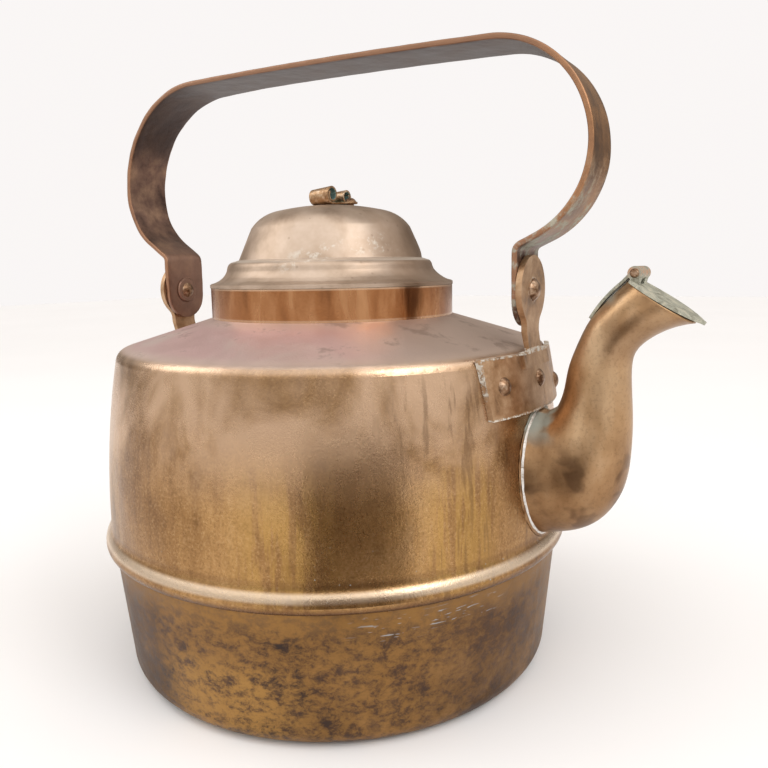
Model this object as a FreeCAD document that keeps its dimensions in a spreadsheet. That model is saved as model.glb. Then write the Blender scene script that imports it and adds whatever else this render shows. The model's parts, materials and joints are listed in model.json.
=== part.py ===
import FreeCAD, Part
import math
import os

import Sketcher

# A stove kettle of sheet copper. Millimetres, +Z up, +X towards the spout.
# The origin is the middle of the underside, on the surface that the kettle stands on.

SIZES = [
    # lower pan and body wall
    ("base_rad", 101.0, "outer radius of the pan just above its bottom corner"),
    ("base_corner", 9.0, "rounding between the pan's bottom and its side"),
    ("pan_rad", 105.8, "outer radius of the pan at the seam"),
    ("pan_gauge", 1.5, "sheet thickness of the pan"),
    ("seam_height", 58.2, "height of the seam between pan and wall"),
    ("lip_height", 65.5, "height of the pan's lip inside the bead"),
    ("lip_rad", 106.2, "outer radius of the pan's lip"),
    ("foot_rad", 106.9, "outer radius of the wall's foot at the seam"),
    ("crest_rad", 109.6, "outer radius of the bead"),
    ("crest_height", 62.0, "height of the bead's crest"),
    ("bead_round", 4.3, "rounding of the bead under its crest"),
    ("bead_slope", 7.0, "rounding of the bead above its crest"),
    ("bead_neck_rad", 108.04, "radius where the bead's rounding turns into the cove above it"),
    ("bead_neck_height", 66.4, "height of that place"),
    ("bead_cove", 5.4, "rounding of the cove above the bead"),
    ("bead_top", 69.8, "height where the bead runs out into the wall"),
    ("wall_rad", 106.85, "outer radius of the wall above the bead"),
    ("wall_curve", 385.0, "radius of the wall's long outward curve"),
    ("wall_gauge", 1.2, "sheet thickness of the wall"),
    ("wall_top", 142.8, "height where the shoulder's rounding starts"),
    ("edge_rad", 96.0, "radius where the shoulder's rounding ends"),
    ("edge_height", 147.1, "height where the shoulder's rounding ends"),
    ("edge_round", 5.6, "rounding of the shoulder's edge"),
    # neck
    ("neck_rad", 56.9, "outer radius of the neck collar"),
    ("neck_gauge", 1.1, "sheet thickness of the neck collar"),
    ("neck_foot", 159.0, "height where the shoulder meets the neck"),
    ("neck_top", 172.8, "height of the neck's rim"),
    ("flange_reach", 3.4, "width of the collar's flange under the shoulder"),
    ("fit_gap", 0.05, "gap between pieces that are soldered or riveted together"),
    # lid
    ("lid_rad", 57.2, "outer radius of the lid"),
    ("lid_gauge", 1.0, "sheet thickness of the lid"),
    ("lid_seat", 172.95, "height of the lid's underside, just over the neck's rim"),
    ("lid_edge", 1.3, "height of the lid's outer edge"),
    ("edge_bevel", 0.7, "bevel above the lid's outer edge"),
    ("cove_rad", 49.6, "radius where the cove above the edge ends"),
    ("cove_height", 180.2, "height where the cove ends"),
    ("cove_round", 9.5, "rounding of the cove"),
    ("step_rad", 47.2, "radius of the step under the dome"),
    ("step_height", 184.3, "height of the step under the dome"),
    ("step_lean", 0.5, "how far the step's foot stands in from the cove"),
    ("step_rise", 2.0, "height of the step's foot above the cove"),
    ("step_round", 3.4, "rounding of the step"),
    ("dome_rad", 43.7, "radius of the dome's foot"),
    ("dome_foot", 185.3, "height of the dome's foot"),
    ("haunch_rad", 37.3, "radius where the dome's side starts to round over"),
    ("haunch_height", 199.6, "height where the dome's side starts to round over"),
    ("haunch_round", 18.6, "rounding of the dome's haunch"),
    ("cap_rad", 25.0, "radius where the dome's top starts"),
    ("cap_height", 207.4, "height where the dome's top starts"),
    ("cap_round", 113.0, "rounding of the dome's top"),
    ("cap_flat", 3.0, "radius of the flat on the dome's top, under the finial"),
    ("lid_peak", 210.1, "height of the dome's top on the axis"),
    ("rim_rad", 55.35, "outer radius of the lid's inner rim"),
    ("rim_gauge", 0.9, "sheet thickness of the inner rim"),
    ("rim_low", 161.0, "height of the inner rim's lower edge"),
    ("rim_high", 174.2, "height of the inner rim's upper edge"),
    # finial
    ("scroll_wide", 11.0, "width of the strip that the finial is rolled from"),
    ("scroll_gauge", 0.9, "thickness of that strip"),
    ("scroll_near", 4.3, "outer radius of the larger scroll"),
    ("scroll_far", 3.8, "outer radius of the smaller scroll"),
    ("scroll_gap", 5.8, "distance of each scroll's axis from the lid's axis"),
    ("scroll_foot", 210.15, "height of the strip's underside on the lid"),
    ("tongue_reach", 14.6, "reach of the strip's tongue towards the spout"),
    ("tongue_wide", 6.4, "width of the tongue"),
    ("rivet_reach", 11.3, "distance of the finial rivet from the lid's axis"),
    ("finial_shank", 1.6, "radius of the finial rivet's shank"),
    ("finial_head", 2.7, "radius of the finial rivet's head"),
    ("finial_dome", 1.8, "height of the finial rivet's head"),
    ("hammer_flat", 0.5, "radius of the flat on the finial rivet's head"),
    ("tail_dome", 1.2, "height of its hammered end under the rove"),
    ("rove_rad", 5.0, "radius of the rove under the lid"),
    ("rove_thick", 0.8, "thickness of the rove"),
    # spout
    ("spout_gauge", 1.1, "sheet thickness of the spout"),
    ("drill_length", 12.0, "length of the drills for the rivets"),
    ("spout_port_rad", 18.0, "radius of the port in the wall behind the spout"),
    ("spout_port_height", 95.0, "height of the port's middle"),
    ("mouth_back_x", 137.5, "x of the mouth's back"),
    ("mouth_back_height", 174.55, "height of the mouth's back"),
    ("mouth_tip_x", 163.6, "x of the mouth's tip"),
    ("mouth_tip_height", 158.5, "height of the mouth's tip"),
    ("mouth_cut", 80.0, "width of the cut that opens the mouth"),
    # spout flap and its hinge
    ("flap_gauge", 1.3, "thickness of the flap"),
    ("flap_gap", 0.15, "gap between the closed flap and the mouth"),
    ("flap_length", 30.4, "length of the flap along its slope"),
    ("flap_back", 8.6, "half width of the flap at its back"),
    ("flap_tip", 1.3, "half width of the flap's tip before its rounding"),
    ("flap_round", 19.4, "radius of the flap's two long edges"),
    ("knuckle_rad", 2.6, "outer radius of the hinge knuckles"),
    ("knuckle_end", 8.0, "half length of the whole hinge"),
    ("knuckle_mid", 2.8, "half length of the middle knuckle"),
    ("knuckle_play", 0.2, "gap between neighbouring knuckles"),
    ("web_reach", 0.5, "how far the web between leaf and knuckles reaches past them"),
    ("notch_reach", 0.6, "how far the leaf's notch reaches past the knuckles"),
    ("axis_x", 141.3, "x of the flap's hinge axis"),
    ("axis_height", 177.1, "height of the flap's hinge axis"),
    ("hinge_pin", 1.0, "radius of the hinge pin"),
    ("pin_head", 1.7, "radius of the hinge pin's heads"),
    ("pin_dome", 0.9, "height of the hinge pin's heads"),
    ("running_gap", 0.05, "radial clearance of every turning fit"),
    ("strap_gauge", 1.2, "thickness of the hinge strap"),
    ("strap_low_x", 124.4, "x of the hinge strap's lower end"),
    ("strap_low_height", 159.4, "height of the hinge strap's lower end"),
    ("strap_curve", 50.0, "radius of the hinge strap's bow"),
    # bail
    ("bail_wide", 25.6, "width of the bail's strap"),
    ("bail_gauge", 2.3, "thickness of the bail's strap"),
    ("pivot_height", 170.8, "height of the bail's pivots"),
    ("front_face", 95.1, "x of the inner face of the bail's front end"),
    ("rear_face", 98.5, "distance of the inner face of the bail's rear end"),
    ("end_drop", 2.0, "how far the end's rounding centre is under the pivot"),
    ("elbow_height", 188.2, "height of the bail's lower bends"),
    ("elbow_round", 3.4, "radius of the lower bends, at the strap's middle"),
    ("front_reach", 125.2, "x of the front lobe's outermost place, at the strap's middle"),
    ("front_lobe_height", 224.9, "height of that place"),
    ("front_low_rad", 36.5, "radius of the front lobe below it"),
    ("front_high_rad", 42.7, "radius of the front lobe above it"),
    ("rear_reach", 125.2, "distance of the rear lobe's outermost place, at the strap's middle"),
    ("rear_lobe_height", 222.7, "height of that place"),
    ("rear_low_rad", 32.5, "radius of the rear lobe below it"),
    ("rear_high_rad", 50.1, "radius of the rear lobe above it"),
    ("grip_rise", 0.9, "how far the grip bows up between the lobes"),
    ("pivot_shank", 3.0, "radius of the pivot rivets' shanks"),
    ("pivot_head", 4.6, "radius of the pivot rivets' outer heads"),
    ("pivot_dome", 2.4, "height of the outer heads"),
    ("peen_rad", 3.9, "radius of the pivot rivets' hammered ends"),
    ("peen_dome", 1.9, "height of the hammered ends"),
    ("washer_rad", 6.5, "radius of the pivot washers"),
    ("washer_thick", 0.9, "thickness of the pivot washers"),
    ("side_play", 0.15, "side play between bail, ear and washer"),
    # ears
    ("ear_gauge", 2.5, "thickness of the ear above its plate"),
    ("ear_head", 14.0, "radius of the ear's round head"),
    ("ear_neck", 7.0, "half width of the ear's neck"),
    ("ear_cove", 6.0, "rounding between head and neck"),
    ("ear_bend_low", 146.9, "height where the ear leaves its plate"),
    ("ear_bend_high", 154.0, "height where the ear stands upright"),
    ("plate_gauge", 2.0, "thickness of the ear's plate"),
    ("plate_low", 122.5, "height of the plate's lower edge"),
    ("plate_high", 146.0, "height of the plate's upper edge"),
    ("plate_top_half", 39.2, "half width of the plate at its top"),
    ("plate_low_half", 36.9, "half width of the plate at its lower edge"),
    ("plate_turn", 60.0, "angle that the plate turns through before its ends are cut, in degrees"),
    ("rivet_height", 134.6, "height of the first two ear rivets"),
    ("rivet_last_height", 129.6, "height of the third ear rivet"),
    ("rivet_step", 16.0, "angle from one ear rivet to the next, in degrees"),
    ("rivet_lean", 9.4, "lean of the wall at the rivets, in degrees"),
    ("rivet_shank", 2.2, "radius of the ear rivets' shanks"),
    ("rivet_head", 3.6, "radius of the ear rivets' heads"),
    ("rivet_dome", 1.7, "height of the ear rivets' heads"),
]

# Stations of the spout: inner point (x, height), outer point (x, height) and half width.
SPOUT_STATIONS = [
    (102.0, 121.6, 102.0, 69.0, 21.0),
    (106.6, 120.4, 108.6, 71.0, 19.6),
    (109.3, 121.2, 118.4, 73.3, 19.0),
    (111.6, 122.7, 129.4, 79.6, 18.2),
    (113.1, 124.9, 137.4, 93.2, 16.4),
    (114.1, 127.6, 139.6, 107.0, 14.2),
    (115.3, 132.2, 139.6, 121.2, 12.0),
    (117.1, 141.1, 138.9, 136.4, 10.7),
    (120.0, 149.6, 139.3, 145.2, 9.7),
    (123.7, 157.4, 142.4, 150.6, 9.6),
    (128.8, 164.0, 149.4, 155.6, 10.1),
    (136.6, 171.9, 158.2, 159.0, 11.4),
    (146.0, 180.0, 168.0, 160.4, 12.4),
]
BELLY_END = 4

doc = FreeCAD.newDocument("Kettle")
sheet = doc.addObject("Spreadsheet::Sheet", "Sizes")


def fillSheet():
    for line, (alias, size, note) in enumerate(SIZES, start=1):
        sheet.set("A%d" % line, note)
        sheet.set("B%d" % line, str(size))
        sheet.setAlias("B%d" % line, alias)
    for number, station in enumerate(SPOUT_STATIONS):
        line = len(SIZES) + 2 + number
        sheet.set("A%d" % line, "spout station %d" % number)
        for column, name, size in zip("BCDEF", ("inx", "inz", "outx", "outz", "wide"), station):
            sheet.set("%s%d" % (column, line), str(size))
            sheet.setAlias("%s%d" % (column, line), "station_%s_%d" % (name, number))
    doc.recompute()


fillSheet()


def cell(alias):
    """The expression that reads one cell of the sheet."""
    return "Sizes." + alias


def sized(text):
    """Turns every bare alias in an expression into a reference to its cell."""
    for alias in sorted((row[0] for row in SIZES), key=len, reverse=True):
        text = text.replace("{" + alias + "}", cell(alias))
    return text


def value(text):
    """The number that an expression has now."""
    result = sheet.evalExpression(sized(text))
    return float(getattr(result, "Value", result))


def originPlane(body, role):
    return next(plane for plane in body.Origin.OriginFeatures if plane.Role == role)


def newBody(label):
    body = doc.addObject("PartDesign::Body", label)
    body.Label = label
    return body


def newSketch(body, name, role, lift=None):
    """A sketch on one of its body's origin planes, lifted along the plane's normal."""
    sketch = body.newObject("Sketcher::SketchObject", name)
    sketch.AttachmentSupport = [(originPlane(body, role), "")]
    sketch.MapMode = "FlatFace"
    if lift:
        sketch.setExpression(".AttachmentOffset.Base.z", sized(lift))
    return sketch


def fixPoint(sketch, edge, end, x_text, y_text):
    for kind, axis, text in (("DistanceX", -2, x_text), ("DistanceY", -1, y_text)):
        size = value(text)
        if abs(size) < 1e-9:
            sketch.addConstraint(Sketcher.Constraint("PointOnObject", edge, end, axis))
            continue
        mark = sketch.addConstraint(Sketcher.Constraint(kind, -1, 1, edge, end, size))
        sketch.setExpression("Constraints[%d]" % mark, sized(text))


def arcBetween(start, end, radius):
    """An arc from start to end. A positive radius bulges to the right of the way from start to end."""
    chord = end.sub(start)
    half = chord.Length / 2
    rise = math.sqrt(max(radius * radius - half * half, 0.0))
    left = FreeCAD.Vector(-chord.y, chord.x, 0).normalize()
    side = 1 if radius > 0 else -1
    centre = start.add(chord.multiply(0.5)).add(left.multiply(side * rise))
    first = math.atan2(start.y - centre.y, start.x - centre.x)
    last = math.atan2(end.y - centre.y, end.x - centre.x)
    circle = Part.Circle(centre, FreeCAD.Vector(0, 0, 1), abs(radius))
    if radius > 0:
        return Part.ArcOfCircle(circle, first, last), 1, 2
    return Part.ArcOfCircle(circle, last, first), 2, 1


def outline(sketch, points, closed=True):
    """Draws lines and arcs through points, each (x, y) or (x, y, radius of the arc that leaves it)."""
    places = [FreeCAD.Vector(value(row[0]), value(row[1]), 0) for row in points]
    count = len(points) if closed else len(points) - 1
    ends = []
    for number in range(count):
        start = places[number]
        stop = places[(number + 1) % len(points)]
        row = points[number]
        if len(row) == 3:
            radius = value(row[2])
            shape, first, last = arcBetween(start, stop, radius)
            edge = sketch.addGeometry(shape, False)
            mark = sketch.addConstraint(Sketcher.Constraint("Radius", edge, abs(radius)))
            sketch.setExpression("Constraints[%d]" % mark, sized("abs(" + row[2] + ")"))
        else:
            edge = sketch.addGeometry(Part.LineSegment(start, stop), False)
            first, last = 1, 2
        ends.append((edge, first, last))
    for number in range(count):
        edge, first, last = ends[number]
        fixPoint(sketch, edge, first, points[number][0], points[number][1])
        if closed or number + 1 < count:
            following, start_end, _ = ends[(number + 1) % count]
            sketch.addConstraint(Sketcher.Constraint("Coincident", edge, last, following, start_end))
        else:
            fixPoint(sketch, edge, last, points[-1][0], points[-1][1])


def round_(sketch, x_text, y_text, radius_text):
    """A circle whose centre and radius are bound to the sheet."""
    centre = FreeCAD.Vector(value(x_text), value(y_text), 0)
    circle = Part.Circle(centre, FreeCAD.Vector(0, 0, 1), value(radius_text))
    edge = sketch.addGeometry(circle, False)
    fixPoint(sketch, edge, 3, x_text, y_text)
    mark = sketch.addConstraint(Sketcher.Constraint("Radius", edge, value(radius_text)))
    sketch.setExpression("Constraints[%d]" % mark, sized(radius_text))


def turned(body, points, kind="Revolution", angle=360.0, midplane=False):
    """Turns an outline in the XZ plane about the kettle's upright axis."""
    sketch = newSketch(body, kind + "Outline", "XZ_Plane")
    outline(sketch, points)
    feature = body.newObject("PartDesign::" + kind, kind)
    feature.Profile = sketch
    feature.ReferenceAxis = (sketch, ["V_Axis"])
    feature.Angle = angle
    feature.Midplane = midplane
    return feature


def padded(body, name, sketch, length, midplane=True):
    pad = body.newObject("PartDesign::Pad", name)
    pad.Profile = sketch
    pad.setExpression("Length", sized(length))
    pad.Midplane = midplane
    return pad


def pocketed(body, name, sketch):
    """Cuts a sketch right through, both ways, and checks that something was cut."""
    before = body.Shape.Volume
    pocket = body.newObject("PartDesign::Pocket", name)
    pocket.Profile = sketch
    pocket.Type = "ThroughAll"
    pocket.Midplane = True
    doc.recompute()
    if body.Shape.Volume > before - 0.01:
        raise RuntimeError(name + " cut nothing")
    return pocket


def rod(label, radius, length, place):
    """A plain cylinder bound to the sheet, used to drill holes."""
    cylinder = doc.addObject("Part::Cylinder", label)
    cylinder.setExpression("Radius", sized(radius))
    cylinder.setExpression("Height", sized(length))
    cylinder.Placement = place
    return cylinder


def drilled(label, base, tools):
    """The base with every tool cut out of it, under the sub-part's own name."""
    union = tools[0]
    if len(tools) > 1:
        union = doc.addObject("Part::MultiFuse", label + "_drills")
        union.Shapes = tools
    cut = doc.addObject("Part::Cut", label + "_cut")
    cut.Base = base
    cut.Tool = union
    cut.Label = label
    return cut


def along(direction, start):
    """A placement that turns +Z to a direction and moves the origin to a start."""
    turn = FreeCAD.Rotation(FreeCAD.Vector(0, 0, 1), direction)
    return FreeCAD.Placement(start, turn)


def wallAt(height, offset="0"):
    """Expression for the radius of the wall's long curve at a height, plus an offset."""
    rise = "({h} - {{bead_top}})".format(h=height)
    return ("({{wall_rad}} - {{wall_curve}} + {o} + sqrt({{wall_curve}} * {{wall_curve}}"
            " - {r} * {r}))").format(o=offset, r=rise)


def bottomPan():
    body = newBody("bottom_pan")
    turned(body, [
        ("0", "0"),
        ("{base_rad} - {base_corner}", "0", "{base_corner}"),
        ("{base_rad}", "{base_corner}"),
        ("{pan_rad}", "{seam_height}"),
        ("{lip_rad}", "{lip_height}"),
        ("{lip_rad} - {pan_gauge}", "{lip_height}"),
        ("{pan_rad} - {pan_gauge}", "{seam_height}"),
        ("{base_rad} - {pan_gauge}", "{base_corner}", "{pan_gauge} - {base_corner}"),
        ("{base_rad} - {base_corner}", "{pan_gauge}"),
        ("0", "{pan_gauge}"),
    ])
    return body


def wallOutline():
    """Outer side upwards from the seam, then the inner side down again."""
    inner_edge = "{edge_round} - {wall_gauge}"
    under = "{edge_height} - 1.25 * {wall_gauge}"
    slope = "asin(({bead_neck_height} - {crest_height}) / {bead_slope})"
    inner_neck = ("{bead_neck_rad} - {wall_gauge} * cos(%s)" % slope,
                  "{bead_neck_height} - {wall_gauge} * sin(%s)" % slope)
    return [
        ("{pan_rad} + {fit_gap}", "{seam_height}"),
        ("{foot_rad}", "{seam_height}", "{bead_round}"),
        ("{crest_rad}", "{crest_height}", "{bead_slope}"),
        ("{bead_neck_rad}", "{bead_neck_height}", "-{bead_cove}"),
        ("{wall_rad}", "{bead_top}", "{wall_curve}"),
        (wallAt("{wall_top}"), "{wall_top}", "{edge_round}"),
        ("{edge_rad}", "{edge_height}"),
        ("{neck_rad} + {fit_gap}", "{neck_foot}"),
        ("{neck_rad} + {fit_gap}", "{neck_foot} - 1.05 * {wall_gauge}"),
        ("{edge_rad} - 0.3 * {wall_gauge}", under, "-(" + inner_edge + ")"),
        (wallAt("{wall_top}", "-{wall_gauge}"), "{wall_top}", "-({wall_curve} - {wall_gauge})"),
        ("{wall_rad} - {wall_gauge}", "{bead_top}", "{bead_cove} + {wall_gauge}"),
        (inner_neck[0], inner_neck[1], "-({bead_slope} - {wall_gauge})"),
        ("{crest_rad} - {wall_gauge}", "{crest_height}", "-({bead_round} - {wall_gauge})"),
    ]


def rivetPlace(side, number, start):
    """Where ear rivet -1, 0 or 1 on one side stands: its axis leans with the wall."""
    bearing = math.radians(value("{rivet_step}")) * number
    if side < 0:
        bearing += math.pi
    lean = math.radians(value("{rivet_lean}"))
    height = "{rivet_last_height}" if number == 1 else "{rivet_height}"
    outward = FreeCAD.Vector(math.cos(bearing), math.sin(bearing), 0)
    normal = outward * math.cos(lean) + FreeCAD.Vector(0, 0, math.sin(lean))
    seat = outward * value(wallAt(height)) + FreeCAD.Vector(0, 0, value(height))
    return along(normal, seat + normal * start)


def rivetDrills(name, sides):
    """Drills for the three rivets of the ear on each given side."""
    drills = []
    start = value("-0.5 * {drill_length}")
    for side in sides:
        for number in (-1, 0, 1):
            label = "%s_%d_%d" % (name, side, number + 1)
            drills.append(rod(label, "{rivet_shank}", "{drill_length}", rivetPlace(side, number, start)))
    return drills


def bodyWall():
    body = newBody("wall_shell")
    turned(body, wallOutline())
    inside = FreeCAD.Vector(value("0.75 * {wall_rad}"), 0, value("{spout_port_height}"))
    port = along(FreeCAD.Vector(1, 0, 0), inside)
    opening = rod("spout_port", "{spout_port_rad}", "0.5 * {wall_rad}", port)
    return drilled("body_wall", body, [opening] + rivetDrills("wall_drill", (1, -1)))


def neckCollar():
    body = newBody("neck_collar")
    hem = "{neck_foot} - 1.05 * {wall_gauge} - 2 * {fit_gap}"
    slope = "({neck_foot} - {edge_height}) / ({edge_rad} - {neck_rad})"
    drop = "{flange_reach} * " + slope
    turned(body, [
        ("{neck_rad} - {neck_gauge}", "{neck_top}"),
        ("{neck_rad} - {neck_gauge}", hem + " - {neck_gauge}"),
        ("{neck_rad} + {flange_reach}", hem + " - {neck_gauge} - " + drop),
        ("{neck_rad} + {flange_reach}", hem + " - " + drop),
        ("{neck_rad}", hem),
        ("{neck_rad}", "{neck_top}"),
    ])
    return body


def finialPlace(height="0"):
    """A place on the finial rivet's axis, at a height."""
    spot = FreeCAD.Vector(value("{rivet_reach}"), 0, value(height))
    return FreeCAD.Placement(spot, FreeCAD.Rotation())


def finialDrill(label):
    return rod(label, "{finial_shank}", "{drill_length}", finialPlace("{lid_peak} - 0.5 * {drill_length}"))


def lidCrown():
    body = newBody("crown_shell")
    turned(body, [
        ("{rim_rad} + {fit_gap}", "{lid_seat}"),
        ("{lid_rad}", "{lid_seat}"),
        ("{lid_rad}", "{lid_seat} + {lid_edge}"),
        ("{lid_rad} - {edge_bevel}", "{lid_seat} + {lid_edge} + 0.7 * {edge_bevel}", "-{cove_round}"),
        ("{cove_rad}", "{cove_height}"),
        ("{cove_rad} - {step_lean}", "{cove_height} + {step_rise}", "{step_round}"),
        ("{step_rad}", "{step_height}"),
        ("{dome_rad}", "{dome_foot}"),
        ("{haunch_rad}", "{haunch_height}", "{haunch_round}"),
        ("{cap_rad}", "{cap_height}", "{cap_round}"),
        ("{cap_flat}", "{lid_peak}"),
        ("0", "{lid_peak}"),
        ("0", "{lid_peak} - {lid_gauge}"),
        ("{cap_flat}", "{lid_peak} - {lid_gauge}", "-({cap_round} - {lid_gauge})"),
        ("{cap_rad} - 0.2 * {lid_gauge}", "{cap_height} - {lid_gauge}", "-({haunch_round} - {lid_gauge})"),
        ("{haunch_rad} - {lid_gauge}", "{haunch_height} - 0.3 * {lid_gauge}"),
        ("{dome_rad} - {lid_gauge}", "{dome_foot} - 0.8 * {lid_gauge}"),
        ("{step_rad} - 0.6 * {lid_gauge}", "{step_height} - {lid_gauge}"),
        ("{cove_rad} - 1.3 * {lid_gauge}", "{cove_height} + 1.2 * {lid_gauge}"),
        ("{cove_rad} - {lid_gauge}", "{cove_height} - 0.5 * {lid_gauge}", "{cove_round} + {lid_gauge}"),
        ("{rim_rad} + {fit_gap}", "{rim_high} + {fit_gap}"),
    ])
    return drilled("lid_crown", body, [finialDrill("crown_drill")])


def lidInnerRim():
    body = newBody("lid_inner_rim")
    turned(body, [
        ("{rim_rad} - {rim_gauge}", "{rim_low}"),
        ("{rim_rad}", "{rim_low}"),
        ("{rim_rad}", "{rim_high}"),
        ("{rim_rad} - {rim_gauge}", "{rim_high}"),
    ])
    return body


def finialScroll():
    """A strip across the lid whose two ends are rolled up into open scrolls."""
    body = newBody("scroll_strip")
    sketch = newSketch(body, "StripOutline", "YZ_Plane")
    top = "{scroll_foot} + {scroll_gauge}"
    outline(sketch, [
        ("-{scroll_gap}", "{scroll_foot}"),
        ("{scroll_gap}", "{scroll_foot}"),
        ("{scroll_gap}", top),
        ("-{scroll_gap}", top),
    ])
    padded(body, "Strip", sketch, "{scroll_wide}")
    for name, side, radius in (("Near", "-1", "{scroll_near}"), ("Far", "1", "{scroll_far}")):
        loop = newSketch(body, name + "Outline", "YZ_Plane")
        middle = ("%s * {scroll_gap}" % side, "{scroll_foot} + 0.5 * {scroll_gauge} + " + radius)
        round_(loop, middle[0], middle[1], radius)
        round_(loop, middle[0], middle[1], radius + " - {scroll_gauge}")
        padded(body, name + "Scroll", loop, "{scroll_wide}")
    tongue = newSketch(body, "TongueOutline", "XZ_Plane")
    outline(tongue, [
        ("0", "{scroll_foot}"),
        ("{tongue_reach}", "{scroll_foot}"),
        ("{tongue_reach}", top),
        ("0", top),
    ])
    padded(body, "Tongue", tongue, "{tongue_wide}")
    return drilled("finial_scroll", body, [finialDrill("scroll_drill")])


def domedRod(label, points, place):
    """A rivet, pin or rove turned about its own Z axis, then placed."""
    body = newBody(label)
    turned(body, points)
    body.Placement = place
    return body


def roveTop():
    """The dome's inner side at the rove's outer edge, less the fitting gap."""
    reach = "({rivet_reach} + {rove_rad})"
    sag = "%s * %s / (2 * ({cap_round} - {lid_gauge}))" % (reach, reach)
    return "({lid_peak} - {lid_gauge} - %s - {fit_gap})" % sag


def finialRivet():
    """The rivet through the finial's tongue: domed head above, small head under the rove."""
    seat = "{scroll_foot} + {scroll_gauge} + {fit_gap}"
    tail = roveTop() + " - {rove_thick} - {fit_gap}"
    return domedRod("finial_rivet", [
        ("0", tail + " - {tail_dome}"),
        ("0.7 * {finial_head}", tail + " - {tail_dome}"),
        ("0.9 * {finial_head}", tail),
        ("{finial_shank}", tail),
        ("{finial_shank}", seat),
        ("{finial_head}", seat, "{finial_head}"),
        ("{hammer_flat}", seat + " + {finial_dome}"),
        ("0", seat + " + {finial_dome}"),
    ], finialPlace())


def finialRove():
    return domedRod("finial_rove", [
        ("{finial_shank}", roveTop() + " - {rove_thick}"),
        ("{rove_rad}", roveTop() + " - {rove_thick}"),
        ("{rove_rad}", roveTop()),
        ("{finial_shank}", roveTop()),
    ], finialPlace())


def spoutRing(body, number, inset):
    """The oval of one spout station, less an inset, square to the line from inner to outer point."""
    names = {key: "Sizes.station_%s_%d" % (key, number) for key in ("inx", "inz", "outx", "outz", "wide")}
    sketch = body.newObject("Sketcher::SketchObject", "Ring%d" % number)
    sketch.AttachmentSupport = [(originPlane(body, "XY_Plane"), "")]
    sketch.MapMode = "FlatFace"
    sketch.setExpression(".AttachmentOffset.Base.x", "({inx} + {outx}) / 2".format(**names))
    sketch.setExpression(".AttachmentOffset.Base.z", "({inz} + {outz}) / 2".format(**names))
    turn = FreeCAD.Rotation(FreeCAD.Vector(0, 1, 0), 1)
    sketch.AttachmentOffset = FreeCAD.Placement(FreeCAD.Vector(), turn)
    tilt = "atan2({inz} - {outz}; {outx} - {inx})".format(**names)
    sketch.setExpression(".AttachmentOffset.Rotation.Angle", tilt)
    long_half = "hypot({outx} - {inx}; {outz} - {inz}) / 2 - ".format(**names) + sized(inset)
    wide_half = "{wide} - ".format(**names) + sized(inset)
    sizes = [float(sheet.evalExpression(text)) for text in (long_half, wide_half)]
    zero = FreeCAD.Vector()
    oval = Part.Ellipse(FreeCAD.Vector(sizes[0], 0, 0), FreeCAD.Vector(0, sizes[1], 0), zero)
    edge = sketch.addGeometry(oval, False)
    sketch.exposeInternalGeometry(edge)
    sketch.addConstraint(Sketcher.Constraint("Coincident", edge, 3, -1, 1))
    sketch.addConstraint(Sketcher.Constraint("Horizontal", edge + 1))
    for line, text, size in ((edge + 1, long_half, sizes[0]), (edge + 2, wide_half, sizes[1])):
        mark = sketch.addConstraint(Sketcher.Constraint("Distance", line, 2 * size))
        sketch.setExpression("Constraints[%d]" % mark, "2 * (%s)" % text)
    return sketch


def lofted(label, inset):
    """A solid through every ring, in two lofts that meet where the belly ends."""
    body = newBody(label)
    rings = [spoutRing(body, number, inset) for number in range(len(SPOUT_STATIONS))]
    for name, run in (("Belly", rings[:BELLY_END + 1]), ("Neck", rings[BELLY_END:])):
        loft = body.newObject("PartDesign::AdditiveLoft", name)
        loft.Profile = run[0]
        loft.Sections = run[1:]
        doc.recompute()
    return body


def spout():
    """The hollow spout: cut back to the wall at its root and to the sloping mouth at its end."""
    outside = lofted("spout_outside", "0")
    inside = lofted("spout_inside", "{spout_gauge}")
    kettle = newBody("spout_root_cut")
    turned(kettle, [
        ("0", "{seam_height}"),
        (wallAt("{bead_top}", "{fit_gap}"), "{seam_height}"),
        (wallAt("{bead_top}", "{fit_gap}"), "{bead_top}", "{wall_curve} + {fit_gap}"),
        (wallAt("{wall_top}", "{fit_gap}"), "{wall_top}"),
        ("0", "{wall_top}"),
    ])
    over = newBody("spout_mouth_cut")
    sketch = newSketch(over, "AboveMouth", "XZ_Plane")
    run = "({mouth_tip_x} - {mouth_back_x})"
    fall = "({mouth_back_height} - {mouth_tip_height})"
    outline(sketch, [
        ("{mouth_back_x} - " + run, "{mouth_back_height} + " + fall),
        ("{mouth_tip_x} + " + run, "{mouth_tip_height} - " + fall),
        ("{mouth_tip_x} + " + run, "{mouth_back_height} + " + fall),
    ])
    padded(over, "Above", sketch, "{mouth_cut}")
    return drilled("spout", outside, [inside, kettle, over])


def slopeAngle():
    run = value("{mouth_tip_x}") - value("{mouth_back_x}")
    fall = value("{mouth_back_height}") - value("{mouth_tip_height}")
    return math.degrees(math.atan2(fall, run))


def hingePlace():
    """The hinge's own frame: its origin on the pin's axis, its X down the flap's slope."""
    turn = FreeCAD.Rotation(FreeCAD.Vector(0, 1, 0), slopeAngle())
    return FreeCAD.Placement(FreeCAD.Vector(value("{axis_x}"), 0, value("{axis_height}")), turn)


def mouthDepth():
    """How far the mouth's plane lies under the hinge axis, square to the slope."""
    angle = math.radians(slopeAngle())
    back = FreeCAD.Vector(value("{mouth_back_x}"), 0, value("{mouth_back_height}"))
    axis = FreeCAD.Vector(value("{axis_x}"), 0, value("{axis_height}"))
    normal = FreeCAD.Vector(math.sin(angle), 0, math.cos(angle))
    return axis.sub(back).dot(normal)


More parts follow.
